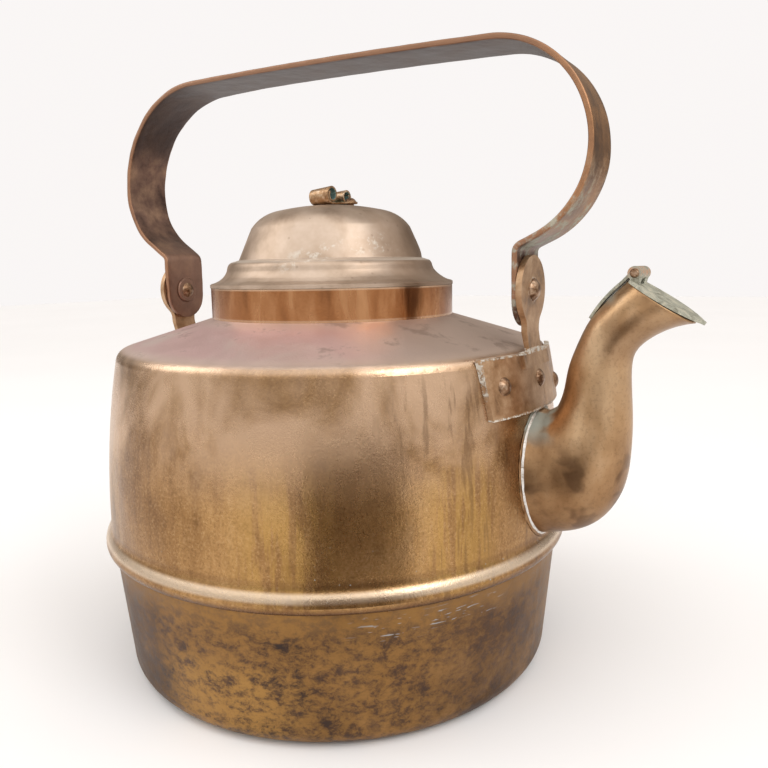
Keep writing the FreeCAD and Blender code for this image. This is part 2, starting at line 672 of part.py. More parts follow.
def spoutFlap():
    """A leaf-shaped plate with a knuckle at each side of its back edge."""
    body = newBody("flap_leaf")
    low = "(0 - %.4f + {flap_gap})" % mouthDepth()
    reach = "{knuckle_rad} + {notch_reach}"
    middle = "({knuckle_mid} + {knuckle_play})"
    plate = newSketch(body, "LeafOutline", "XY_Plane", low)
    outline(plate, [
        ("0", "-{flap_back}", "{flap_round}"),
        ("{flap_length} - {flap_tip}", "-{flap_tip}", "1.02 * {flap_tip}"),
        ("{flap_length} - {flap_tip}", "{flap_tip}", "{flap_round}"),
        ("0", "{flap_back}"),
        ("0", middle),
        (reach, middle),
        (reach, "-" + middle),
        ("0", "-" + middle),
    ])
    padded(body, "Leaf", plate, "{flap_gauge}", midplane=False)
    web = newSketch(body, "WebOutline", "XZ_Plane")
    outline(web, [
        ("0", low),
        ("{knuckle_rad} + {web_reach}", low),
        ("{knuckle_rad} + {web_reach}", low + " + {flap_gauge}"),
        ("{knuckle_rad} * 0.9", "0"),
        ("0", "0"),
    ])
    padded(body, "Web", web, "2 * {knuckle_end}")
    barrel = newSketch(body, "BarrelOutline", "XZ_Plane")
    round_(barrel, "0", "0", "{knuckle_rad}")
    padded(body, "Barrel", barrel, "2 * {knuckle_end}")
    doc.recompute()
    gap = newSketch(body, "MiddleGap", "XY_Plane")
    behind = "-2 * {knuckle_rad}"
    outline(gap, [(behind, "-" + middle), (reach, "-" + middle), (reach, middle), (behind, middle)])
    pocketed(body, "Gap", gap)
    bore = newSketch(body, "PinBore", "XZ_Plane")
    round_(bore, "0", "0", "{hinge_pin} + {running_gap}")
    pocketed(body, "Bore", bore)
    body.Placement = hingePlace()
    body.Label = "spout_flap"
    return body


def spoutHingePin():
    end = "{knuckle_end} + {fit_gap}"
    turn = FreeCAD.Rotation(FreeCAD.Vector(0, 0, 1), FreeCAD.Vector(0, 1, 0))
    place = FreeCAD.Placement(FreeCAD.Vector(value("{axis_x}"), 0, value("{axis_height}")), turn)
    return domedRod("spout_hinge_pin", [
        ("0", "-(%s) - {pin_dome}" % end),
        ("0.7 * {pin_head}", "-(%s) - 0.9 * {pin_dome}" % end),
        ("{pin_head}", "-(%s)" % end),
        ("{hinge_pin}", "-(%s)" % end),
        ("{hinge_pin}", end),
        ("{pin_head}", end),
        ("0.7 * {pin_head}", end + " + 0.9 * {pin_dome}"),
        ("0", end + " + {pin_dome}"),
    ], place)


def spoutHingeStrap():
    """A narrow strap up the back of the spout, rolled round the hinge pin at its top."""
    body = newBody("hinge_strap")
    sketch = newSketch(body, "StrapOutline", "XZ_Plane")
    outline(sketch, [
        ("{strap_low_x}", "{strap_low_height}", "-{strap_curve}"),
        ("{axis_x} - 2.0 * {knuckle_rad}", "{axis_height} - 1.46 * {knuckle_rad}"),
        ("{axis_x} - 0.92 * {knuckle_rad}", "{axis_height} - 0.35 * {knuckle_rad}"),
        ("{axis_x} - 0.73 * {knuckle_rad}", "{axis_height} + 0.54 * {knuckle_rad}"),
        ("{axis_x} - 2.31 * {knuckle_rad}", "{axis_height} - 1.12 * {knuckle_rad}",
         "{strap_curve} + {strap_gauge}"),
        ("{strap_low_x} - 0.8 * {strap_gauge}", "{strap_low_height} + 0.6 * {strap_gauge}"),
    ])
    padded(body, "Strap", sketch, "2 * {knuckle_mid}")
    barrel = newSketch(body, "KnuckleOutline", "XZ_Plane")
    round_(barrel, "{axis_x}", "{axis_height}", "{knuckle_rad}")
    padded(body, "Knuckle", barrel, "2 * {knuckle_mid}")
    doc.recompute()
    bore = newSketch(body, "PinBore", "XZ_Plane")
    round_(bore, "{axis_x}", "{axis_height}", "{hinge_pin}")
    pocketed(body, "Bore", bore)
    body.Label = "spout_hinge_strap"
    return body


def roundedCorner(before, corner, after, radius):
    """The two touching points and the middle point of an arc that rounds a corner."""
    back = before.sub(corner).normalize()
    ahead = after.sub(corner).normalize()
    half = back.getAngle(ahead) / 2
    reach = radius / math.tan(half)
    bisector = back.add(ahead).normalize()
    middle = corner + bisector * (radius / math.sin(half) - radius)
    return corner + back * reach, middle, corner + ahead * reach


def towards(bearing):
    return FreeCAD.Vector(math.cos(bearing), 0, math.sin(bearing))


def bailSide(side, name, face):
    """Edges of one side of the bail's middle line, from its end up to the lobe's outermost place.

    Also gives the centre and radius of the lobe's upper arc.
    """
    middle = side * value(face + " + {bail_gauge} / 2")
    outermost = FreeCAD.Vector(side * value("{%s_reach}" % name), 0, value("{%s_lobe_height}" % name))
    low_rad = value("{%s_low_rad}" % name)
    high_rad = value("{%s_high_rad}" % name)
    centre = outermost - FreeCAD.Vector(side * low_rad, 0, 0)
    elbow = FreeCAD.Vector(middle, 0, value("{elbow_height}"))
    away = elbow.sub(centre)
    bearing = math.atan2(away.z, away.x) + side * math.acos(low_rad / away.Length)
    touch = centre + towards(bearing) * low_rad
    level = 0.0 if side > 0 else math.pi
    half_turn = math.remainder(bearing - level, 2 * math.pi) / 2
    half_way = centre + towards(level + half_turn) * low_rad
    end = FreeCAD.Vector(middle, 0, value("{pivot_height} - {end_drop} - {bail_wide} / 2"))
    first, turn, last = roundedCorner(end, elbow, touch, value("{elbow_round}"))
    edges = [
        Part.LineSegment(end, first).toShape(),
        Part.Arc(first, turn, last).toShape(),
        Part.LineSegment(last, touch).toShape(),
        Part.Arc(touch, half_way, outermost).toShape(),
    ]
    return edges, outermost, outermost - FreeCAD.Vector(side * high_rad, 0, 0), high_rad


def bailPath():
    """The strap's middle line from the rear end, over the top, to the front end.

    The grip between the two lobes is one long arc that leaves each lobe in its own direction.
    """
    rear_edges, rear_side, rear_centre, rear_rad = bailSide(-1, "rear", "{rear_face}")
    front_edges, front_side, front_centre, front_rad = bailSide(1, "front", "{front_face}")
    span = front_centre.sub(rear_centre)
    rise = value("{grip_rise}")
    grip_rad = (span.Length ** 2 / 4 + rise ** 2) / (2 * rise)
    rear_gap = grip_rad - rear_rad
    front_gap = grip_rad - front_rad
    along_span = (rear_gap ** 2 - front_gap ** 2 + span.Length ** 2) / (2 * span.Length)
    below = math.sqrt(rear_gap ** 2 - along_span ** 2)
    forward = FreeCAD.Vector(span).normalize()
    upward = FreeCAD.Vector(-forward.z, 0, forward.x)
    grip_centre = rear_centre + forward * along_span - upward * below
    rear_top = grip_centre + rear_centre.sub(grip_centre).normalize() * grip_rad
    front_top = grip_centre + front_centre.sub(grip_centre).normalize() * grip_rad
    grip_top = grip_centre + (rear_top + front_top).sub(grip_centre * 2).normalize() * grip_rad
    edges = list(rear_edges)
    for centre, radius, start, stop in ((rear_centre, rear_rad, rear_side, rear_top),
                                        (front_centre, front_rad, front_top, front_side)):
        half_way = (start + stop).sub(centre * 2).normalize() * radius
        edges.append(Part.Arc(start, centre + half_way, stop).toShape())
        if centre is rear_centre:
            edges.append(Part.Arc(rear_top, grip_top, front_top).toShape())
    edges += reversed(front_edges)
    return Part.Wire(Part.sortEdges(edges)[0])


def bailStrap():
    """The strap swept along its middle line; its ends are rounded and drilled for the pivots."""
    gauge = value("{bail_gauge}")
    wide = value("{bail_wide}")
    path = bailPath()
    start = path.OrderedVertexes[0].Point
    corners = [start + FreeCAD.Vector(dx * gauge / 2, dy * wide / 2, 0)
               for dx, dy in ((-1, -1), (1, -1), (1, 1), (-1, 1), (-1, -1))]
    section = Part.makePolygon(corners)
    strip = path.makePipeShell([section], True, False)
    low = value("{pivot_height} - {end_drop}")
    across = 2 * value("{rear_reach}") + wide
    left = -across / 2
    trim = Part.makeBox(across, 2 * wide, wide, FreeCAD.Vector(left, -wide, low - wide))
    keep = Part.makeCylinder(wide / 2, across, FreeCAD.Vector(left, 0, low), FreeCAD.Vector(1, 0, 0))
    bore_rad = value("{pivot_shank} + {running_gap}")
    pivot = FreeCAD.Vector(left, 0, value("{pivot_height}"))
    bore = Part.makeCylinder(bore_rad, across, pivot, FreeCAD.Vector(1, 0, 0))
    feature = doc.addObject("Part::Feature", "bail_strap")
    feature.Shape = strip.cut(trim.cut(keep)).cut(bore)
    feature.Label = "bail_strap"
    return feature


def earOutline(sketch):
    """Everything beside and above the ear's round head and narrow neck."""
    reach = "({ear_neck} + {ear_cove})"
    rise = "sqrt(({ear_head} + {ear_cove}) * ({ear_head} + {ear_cove}) - %s * %s)" % (reach, reach)
    cove = "({pivot_height} - %s)" % rise
    share = "({ear_head} / ({ear_head} + {ear_cove}))"
    touch_y = "%s * %s" % (share, reach)
    touch_z = "{pivot_height} - %s * %s" % (share, rise)
    low = "{ear_bend_low} - 0.25 * {plate_gauge}"
    outline(sketch, [
        ("{ear_neck}", low),
        ("1.3 * {ear_head}", low),
        ("1.3 * {ear_head}", "{pivot_height} + 1.3 * {ear_head}"),
        ("-1.3 * {ear_head}", "{pivot_height} + 1.3 * {ear_head}"),
        ("-1.3 * {ear_head}", low),
        ("-{ear_neck}", low),
        ("-{ear_neck}", cove, "{ear_cove}"),
        ("-(%s)" % touch_y, touch_z, "-{ear_head}"),
        ("0", "{pivot_height} + {ear_head}", "-{ear_head}"),
        (touch_y, touch_z, "{ear_cove}"),
        ("{ear_neck}", cove),
    ])


def ear(label, side, face):
    """One riveted ear: a curved plate on the wall with a tongue that carries the pivot."""
    body = newBody(label + "_blank")
    over = "{fit_gap} + {plate_gauge}"
    turned(body, [
        (wallAt("{plate_low}", "{fit_gap}"), "{plate_low}"),
        (wallAt("{plate_low}", over), "{plate_low}", "{wall_curve} + " + over),
        (wallAt("{plate_high}", over), "{plate_high}"),
        (wallAt("{plate_high}", "{fit_gap}"), "{plate_high}", "-({wall_curve} + {fit_gap})"),
    ], angle=value("{plate_turn}"), midplane=True)
    inner = "(%s + {bail_gauge} + {side_play})" % face
    root = "({plate_high} - 3 * {plate_gauge})"
    tongue = newSketch(body, "TongueOutline", "XZ_Plane")
    outline(tongue, [
        (wallAt(root, "{fit_gap} + 0.25 * {plate_gauge}"), root),
        (wallAt(root, over), root),
        (wallAt("{ear_bend_low}", over), "{ear_bend_low}"),
        (inner + " + {ear_gauge}", "{ear_bend_high}"),
        (inner + " + {ear_gauge}", "{pivot_height} + 1.1 * {ear_head}"),
        (inner, "{pivot_height} + 1.1 * {ear_head}"),
        (inner, "{ear_bend_high}"),
        (wallAt("{ear_bend_low}", "{fit_gap}"), "{ear_bend_low}"),
    ])
    padded(body, "Tongue", tongue, "2 * {ear_head}")
    doc.recompute()
    beside = newSketch(body, "BesideHead", "YZ_Plane")
    earOutline(beside)
    pocketed(body, "Head", beside)
    ends = newSketch(body, "PlateEnds", "YZ_Plane")
    for sign in ("", "-"):
        rows = [
            (sign + "{plate_top_half}", "{plate_high} + {plate_gauge}"),
            (sign + "1.5 * {plate_top_half}", "{plate_high} + {plate_gauge}"),
            (sign + "1.5 * {plate_top_half}", "{plate_low} - {plate_gauge}"),
            (sign + "{plate_low_half}", "{plate_low} - {plate_gauge}"),
        ]
        outline(ends, rows)
    pocketed(body, "Ends", ends)
    bore = newSketch(body, "PivotBore", "YZ_Plane")
    round_(bore, "0", "{pivot_height}", "{pivot_shank}")
    pocketed(body, "Bore", bore)
    if side < 0:
        body.Placement = FreeCAD.Placement(FreeCAD.Vector(), FreeCAD.Rotation(FreeCAD.Vector(0, 0, 1), 180))
    return drilled(label, body, rivetDrills(label + "_drill", (side,)))


def earRivets(label, side):
    """Three rivets of one ear, hammered over inside the wall, kept as one group of solids."""
    solids = []
    back = "{wall_gauge} + 5 * {fit_gap}"
    front = "{plate_gauge} + 2 * {fit_gap}"
    for number in (-1, 0, 1):
        body = newBody("%s_%d" % (label, number + 1))
        turned(body, [
            ("0", "-(%s) - 0.65 * {rivet_dome}" % back),
            ("{rivet_shank}", "-(%s) - 0.53 * {rivet_dome}" % back),
            ("0.83 * {rivet_head}", "-(%s)" % back),
            ("{rivet_shank}", "-(%s)" % back),
            ("{rivet_shank}", front),
            ("{rivet_head}", front),
            ("0.78 * {rivet_head}", front + " + 0.65 * {rivet_dome}"),
            ("0", front + " + {rivet_dome}"),
        ])
        body.Placement = rivetPlace(side, number, 0.0)
        solids.append(body)
    group = doc.addObject("Part::Compound", label)
    group.Links = solids
    group.Label = label
    return group


def pivotRivet(label, side, face):
    """The bail's pivot: head outside the ear, shank through ear, bail and washer, hammered end inside."""
    ear_out = "(%s + {bail_gauge} + {side_play} + {ear_gauge} + {fit_gap})" % face
    peen = "(%s - {side_play} - {washer_thick} - {fit_gap})" % face
    turn = FreeCAD.Rotation(FreeCAD.Vector(0, 0, 1), FreeCAD.Vector(side, 0, 0))
    return domedRod(label, [
        ("0", peen + " - {peen_dome}"),
        ("0.55 * {peen_rad}", peen + " - 0.85 * {peen_dome}"),
        ("{peen_rad}", peen),
        ("{pivot_shank}", peen),
        ("{pivot_shank}", ear_out),
        ("{pivot_head}", ear_out),
        ("0.6 * {pivot_head}", ear_out + " + 0.8 * {pivot_dome}"),
        ("0", ear_out + " + {pivot_dome}"),
    ], FreeCAD.Placement(FreeCAD.Vector(0, 0, value("{pivot_height}")), turn))


def pivotWasher(label, side, face):
    outer = "(%s - {side_play})" % face
    turn = FreeCAD.Rotation(FreeCAD.Vector(0, 0, 1), FreeCAD.Vector(side, 0, 0))
    return domedRod(label, [
        ("{pivot_shank}", outer + " - {washer_thick}"),
        ("0.92 * {washer_rad}", outer + " - {washer_thick}"),
        ("{washer_rad}", outer + " - 0.4 * {washer_thick}"),
        ("{washer_rad}", outer),
        ("{pivot_shank}", outer),
    ], FreeCAD.Placement(FreeCAD.Vector(0, 0, value("{pivot_height}")), turn))


def buildAll():
    pieces = [
        bottomPan(),
        bodyWall(),
        neckCollar(),
        spout(),
        spoutHingeStrap(),
        spoutHingePin(),
        spoutFlap(),
        bailStrap(),
        lidCrown(),
        lidInnerRim(),
        finialScroll(),
        finialRivet(),
        finialRove(),
    ]
    for end, side, face in (("front", 1, "{front_face}"), ("rear", -1, "{rear_face}")):
        pieces.append(ear(end + "_ear", side, face))
        pieces.append(earRivets(end + "_ear_rivets", side))
        pieces.append(pivotRivet(end + "_pivot_rivet", side, face))
        pieces.append(pivotWasher(end + "_pivot_washer", side, face))
    return pieces


def checkDocument(pieces):
    for item in doc.Objects:
        if "Invalid" in item.State or "Error" in item.State:
            raise RuntimeError("%s failed: %s" % (item.Label, item.State))
    for piece in pieces:
        shape = piece.Shape
        if shape.isNull() or not shape.isValid() or not shape.Solids:
            raise RuntimeError(piece.Label + " has no valid solid")


def main():
    pieces = buildAll()
    doc.recompute()
    checkDocument(pieces)
    os.makedirs("parts", exist_ok=True)
    for piece in pieces:
        piece.Shape.exportStep("parts/%s.step" % piece.Label)
        print("%-20s %2d solid %9.1f mm3" % (piece.Label, len(piece.Shape.Solids), piece.Shape.Volume))


main()
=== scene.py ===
import json
import math

import bmesh
import bpy
import numpy as np
from mathutils import Matrix, Vector

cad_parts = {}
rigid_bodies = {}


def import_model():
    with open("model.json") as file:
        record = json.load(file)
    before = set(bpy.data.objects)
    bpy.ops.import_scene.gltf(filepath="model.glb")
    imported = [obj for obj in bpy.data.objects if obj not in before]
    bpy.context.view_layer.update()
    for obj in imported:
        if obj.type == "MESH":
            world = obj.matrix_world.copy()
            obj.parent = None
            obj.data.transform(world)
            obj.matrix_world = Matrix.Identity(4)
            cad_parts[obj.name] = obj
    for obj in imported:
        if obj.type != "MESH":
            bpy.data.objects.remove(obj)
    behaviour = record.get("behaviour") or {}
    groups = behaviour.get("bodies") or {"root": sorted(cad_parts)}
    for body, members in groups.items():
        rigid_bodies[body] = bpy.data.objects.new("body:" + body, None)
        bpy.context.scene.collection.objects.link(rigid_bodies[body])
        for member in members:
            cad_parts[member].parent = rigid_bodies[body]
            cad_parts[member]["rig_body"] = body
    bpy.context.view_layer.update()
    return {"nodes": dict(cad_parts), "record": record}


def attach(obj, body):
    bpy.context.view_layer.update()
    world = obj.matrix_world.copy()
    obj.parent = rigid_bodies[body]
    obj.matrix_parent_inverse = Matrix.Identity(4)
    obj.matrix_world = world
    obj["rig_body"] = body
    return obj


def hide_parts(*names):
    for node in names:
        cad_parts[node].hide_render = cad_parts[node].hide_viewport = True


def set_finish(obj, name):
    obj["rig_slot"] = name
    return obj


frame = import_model()
mm = 0.001
print("frame loaded,", len(frame["nodes"]), "nodes")


class Wire:
    # one socket of a finish; each operator adds a Math node to that finish
    def __init__(self, finish, socket):
        self.finish = finish
        self.socket = socket

    def __add__(self, other):
        return self.finish.maths("ADD", self, other)

    __radd__ = __add__

    def __sub__(self, other):
        return self.finish.maths("SUBTRACT", self, other)

    def __rsub__(self, other):
        return self.finish.maths("SUBTRACT", other, self)

    def __mul__(self, other):
        return self.finish.maths("MULTIPLY", self, other)

    __rmul__ = __mul__


class Nodes:
    # a node tree that starts empty, and the one way to add to it
    def __init__(self, tree):
        self.tree = tree
        self.tree.nodes.clear()

    def node(self, kind, settings=None, inputs=None, output=0):
        # its type, then its settings or a ramp's stops, then the values or wires of its sockets
        made = self.tree.nodes.new("ShaderNode" + kind)
        for key, setting in (settings or {}).items():
            if key == "stops":
                stops = made.color_ramp.elements
                while len(stops) < len(setting):
                    stops.new(1.0)
                for stop, (at, tone) in zip(stops, setting):
                    stop.position = at
                    stop.color = withAlpha(tone)
            else:
                setattr(made, key, setting)
        for key, given in (inputs or {}).items():
            if isinstance(given, Wire):
                self.tree.links.new(given.socket, made.inputs[key])
            else:
                made.inputs[key].default_value = given
        return Wire(self, made.outputs[output]) if made.outputs else None


class Finish(Nodes):
    # one material; x, y and z are places on the whole object, in metres
    def __init__(self, name):
        self.material = bpy.data.materials.new(name)
        self.material.use_nodes = True
        super().__init__(self.material.node_tree)
        self.place = self.node("TexCoord", output="Object")
        self.x, self.y, self.z = (self.node("SeparateXYZ", {}, {"Vector": self.place}, axis)
                                  for axis in "XYZ")

    def maths(self, operation, left, right=0.0):
        return self.node("Math", {"operation": operation}, {0: left, 1: right})

    def fade(self, wire, low, high):
        # 0 below low, 1 above high, an S between them; low may be the larger one
        return self.node("MapRange", {"interpolation_type": "SMOOTHSTEP"},
                         {"Value": wire, "From Min": low, "From Max": high})

    def band(self, wire, middle, reach, soft):
        # 1 within reach of middle, fading to 0 over soft
        away = self.maths("ABSOLUTE", wire - middle)
        return 1 - self.fade(away, reach, reach + soft)

    def noise(self, size, detail=3.0, rough=0.5, twist=0.0, scale=None):
        # size is the width of one blotch in metres; a scale under 1 stretches the blotches along that axis
        spot = self.node("Mapping", {}, {"Vector": self.place, "Scale": scale}) if scale else self.place
        return self.node("TexNoise", {}, {"Vector": spot, "Scale": 1 / size, "Detail": detail,
                                          "Roughness": rough, "Distortion": twist}, "Fac")

    def specks(self, size, share):
        # 1 on small dots, one in each cell of the given size
        away = self.node("TexVoronoi", {}, {"Vector": self.place, "Scale": 1 / size}, "Distance")
        return 1 - self.fade(away, share * 0.5, share)

    def mix(self, share, below, above):
        # the colour below where share is 0, the colour above where it is 1
        return self.node("Mix", {"data_type": "RGBA"},
                         {"Factor": share, "A": withAlpha(below), "B": withAlpha(above)}, "Result")

    def ramp(self, wire, *stops):
        # each stop is its place and a screen colour: (place, red, green, blue)
        tones = [(at, paint(*tone)) for at, *tone in stops]
        return self.node("ValToRGB", {"stops": tones}, {"Fac": wire}, "Color")

    def bump(self, *layers):
        # layers of (height wire, depth in metres), one bump node after another
        normal = None
        for height, depth in layers:
            given = {"Height": height, "Distance": depth, "Strength": 1.0}
            if normal:
                given["Normal"] = normal
            normal = self.node("Bump", {}, given, "Normal")
        return normal

    def finish(self, **sockets):
        names = {"colour": "Base Color", "rough": "Roughness", "metal": "Metallic", "normal": "Normal"}
        given = {names[key]: value for key, value in sockets.items()}
        self.node("OutputMaterial", {}, {"Surface": self.node("BsdfPrincipled", {}, given, "BSDF")})
        return self.material


def withAlpha(given):
    # (red, green, blue) as a colour socket wants it
    return given if isinstance(given, Wire) else (*given, 1.0)


def paint(red, green, blue):
    # a screen colour, 0 to 255, as scene light
    return tuple(((c / 255 + 0.055) / 1.055) ** 2.4 for c in (red, green, blue))


# shapes are worked out in millimetres, and become metres when their mesh is made
def sheetFaces(rows, columns, wrapAlong, wrapAcross, start):
    # quads between neighbours of a grid, numbered from start
    i, j = np.meshgrid(np.arange(rows - (not wrapAlong)), np.arange(columns - (not wrapAcross)),
                       indexing="ij")
    nextI = (i + 1) % rows
    nextJ = (j + 1) % columns
    quads = np.stack([i * columns + j, nextI * columns + j,
                      nextI * columns + nextJ, i * columns + nextJ], -1)
    return (quads + start).reshape(-1, 4)


def makePiece(name, grids, material, body, slot, replaced=(), wrapAcross=True, wrapAlong=False, sharp=40.0,
              thick=None, lining=None):
    # each grid is an array (rows, columns, 3); poles and seams are merged, faces are made to point outwards
    points = np.concatenate([grid.reshape(-1, 3) for grid in grids]) * mm
    starts = np.cumsum([0] + [grid.shape[0] * grid.shape[1] for grid in grids])
    faces = np.concatenate([sheetFaces(grid.shape[0], grid.shape[1], wrapAlong, wrapAcross, start)
                            for grid, start in zip(grids, starts)])
    mesh = bpy.data.meshes.new(name)
    mesh.from_pydata(points.tolist(), [], faces.tolist())
    work = bmesh.new()
    work.from_mesh(mesh)
    bmesh.ops.remove_doubles(work, verts=work.verts, dist=2e-6)
    bmesh.ops.dissolve_degenerate(work, edges=work.edges, dist=1e-7)
    bmesh.ops.recalc_face_normals(work, faces=work.faces)
    work.to_mesh(mesh)
    work.free()
    mesh.shade_smooth()
    mesh.set_sharp_from_angle(angle=math.radians(sharp))
    mesh.materials.append(material)
    piece = bpy.data.objects.new(name, mesh)
    bpy.context.scene.collection.objects.link(piece)
    if thick:
        wall = piece.modifiers.new("thickness", "SOLIDIFY")
        wall.thickness = thick * mm
        wall.offset = -1.0
        wall.use_even_offset = True
        if lining:
            mesh.materials.append(lining)
            wall.material_offset = 1
            wall.material_offset_rim = 0
    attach(piece, body)
    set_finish(piece, slot)
    if replaced:
        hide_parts(*replaced)
    return piece


def drawLine(rows, step=0.6):
    # straight runs and arcs through (across, up) or (across, up, radius); a positive radius bulges right
    parts = []
    for start, end in zip(rows, rows[1:]):
        a = np.array(start[:2], float)
        chord = np.array(end[:2], float) - a
        length = math.hypot(*chord)
        share = np.linspace(0, 1, max(2, int(length / step) + 1), endpoint=False)[:, None]
        if len(start) == 2:
            parts.append(a + chord * share)
            continue
        radius = start[2]
        rise = math.sqrt(max(radius * radius - length * length / 4, 0.0))
        centre = a + chord / 2 + np.array([-chord[1], chord[0]]) / length * math.copysign(rise, radius)
        first = math.atan2(*(a - centre)[::-1])
        last = math.atan2(*(a + chord - centre)[::-1])
        sweep = (last - first + math.pi) % (2 * math.pi) - math.pi
        angle = first + sweep * share
        parts.append(centre + abs(radius) * np.hstack([np.cos(angle), np.sin(angle)]))
    parts.append(np.array([rows[-1][:2]], float))
    return np.concatenate(parts)


def turned(line, steps=160, centre=(0.0, 0.0)):
    # a line of (radius, height) turned about an upright axis
    angle = np.linspace(0, 2 * math.pi, steps, endpoint=False)
    radius, height = line[:, :1], line[:, 1:]
    return np.stack([centre[0] + radius * np.cos(angle), centre[1] + radius * np.sin(angle),
                     height + 0 * angle], -1)


def placed(grid, spot, normal):
    # a grid made about +Z, turned so that +Z is the normal, and moved to spot
    turn = np.array(Vector(normal).to_track_quat("Z", "Y").to_matrix())
    return grid @ turn.T + np.array(spot)


def barLoop(halfWide, halfThick, corner, perCorner=5, across=9):
    # a rounded rectangle, as arrays of across and through, going once round
    angle = np.linspace(0, math.pi / 2, perCorner)
    flat = np.linspace(-1, 1, across)[1:-1] * (halfWide - corner)
    turns = [np.stack([sx * (halfWide - corner) + corner * np.cos(angle + start),
                       sy * (halfThick - corner) + corner * np.sin(angle + start)], 1)
             for sx, sy, start in ((1, 1, 0), (-1, 1, math.pi / 2),
                                   (-1, -1, math.pi), (1, -1, -math.pi / 2))]
    top = np.stack([-flat, flat * 0 + halfThick], 1)
    bottom = np.stack([flat, flat * 0 - halfThick], 1)
    loop = np.concatenate([turns[0], top, turns[1], turns[2], bottom, turns[3]])
    return loop[:, 0], loop[:, 1]


def softEnds(distance, length, reach):
    # 0 at both ends, 1 from reach inwards, a quarter circle between
    near = np.clip(np.minimum(distance, length - distance) / reach, 0, 1)
    return np.sqrt(np.clip(1 - (1 - near) ** 2, 0, 1))


def spaced(length, ends, middle):
    # places along a length, crowded towards both ends
    bend = (1 - np.cos(np.linspace(0, math.pi / 2, ends))) * min(length / 2, 14.0)
    even = np.linspace(bend[-1], length - bend[-1], middle)
    return np.unique(np.concatenate([bend, even, length - bend]))


def along(line, places):
    # points and unit directions of a polyline at distances along it
    run = np.concatenate([[0], np.cumsum(np.linalg.norm(np.diff(line, axis=0), axis=1))])
    spots = np.stack([np.interp(places, run, line[:, k]) for k in range(line.shape[1])], 1)
    way = np.stack([np.interp(places, (run[1:] + run[:-1]) / 2, np.diff(line[:, k]) / np.diff(run))
                    for k in range(line.shape[1])], 1)
    return spots, way / np.linalg.norm(way, axis=1)[:, None]


def splineThrough(knots, values, places):
    # natural cubic spline: second slopes solved from the knots, then each cubic read at places
    gap = np.diff(knots)
    count = len(knots)
    system = np.eye(count)
    right = np.zeros(values.shape)
    for k in range(1, count - 1):
        system[k, k - 1:k + 2] = gap[k - 1], 2 * (gap[k - 1] + gap[k]), gap[k]
        right[k] = 6 * ((values[k + 1] - values[k]) / gap[k] - (values[k] - values[k - 1]) / gap[k - 1])
    second = np.linalg.solve(system, right)
    k = np.clip(np.searchsorted(knots, places) - 1, 0, count - 2)
    left = ((knots[k + 1] - places) / gap[k])[:, None]
    share = 1 - left
    width = gap[k][:, None] ** 2 / 6
    return (left * values[k] + share * values[k + 1]
            + width * ((left ** 3 - left) * second[k] + (share ** 3 - share) * second[k + 1]))


def wobble(places, size, seed):
    # a smooth uneven line, about -size to size, the sum of a few seeded waves
    waves = np.random.default_rng(seed)
    total = sum(waves.normal() * np.sin(places * rate + waves.uniform(0, 6.3))
                for rate in (0.05, 0.11, 0.19, 0.31))
    return size * total / 2


def ringWobble(count, seed):
    # an uneven closed line, about -1 to 1
    around = np.linspace(0, 2 * np.pi, count, endpoint=False)
    waves = np.random.default_rng(seed)
    return sum(waves.normal() * np.sin(around * turns + waves.uniform(0, 6.3))
               for turns in (3, 7, 13, 22, 31)) / 2.5


# heights, in metres, where the finishes change
levels = dict(
    seam=0.057,        # top of the pan
    bead=0.0652,       # crest of the wall's bead
    shoulder=0.1465,   # where the wall turns inwards
    neckFoot=0.1595,
    neckRim=0.1725,
    lidStep=0.1846,
    pivot=0.1708,
    grip=(0.234, 0.252),  # the bail darkens between these
)


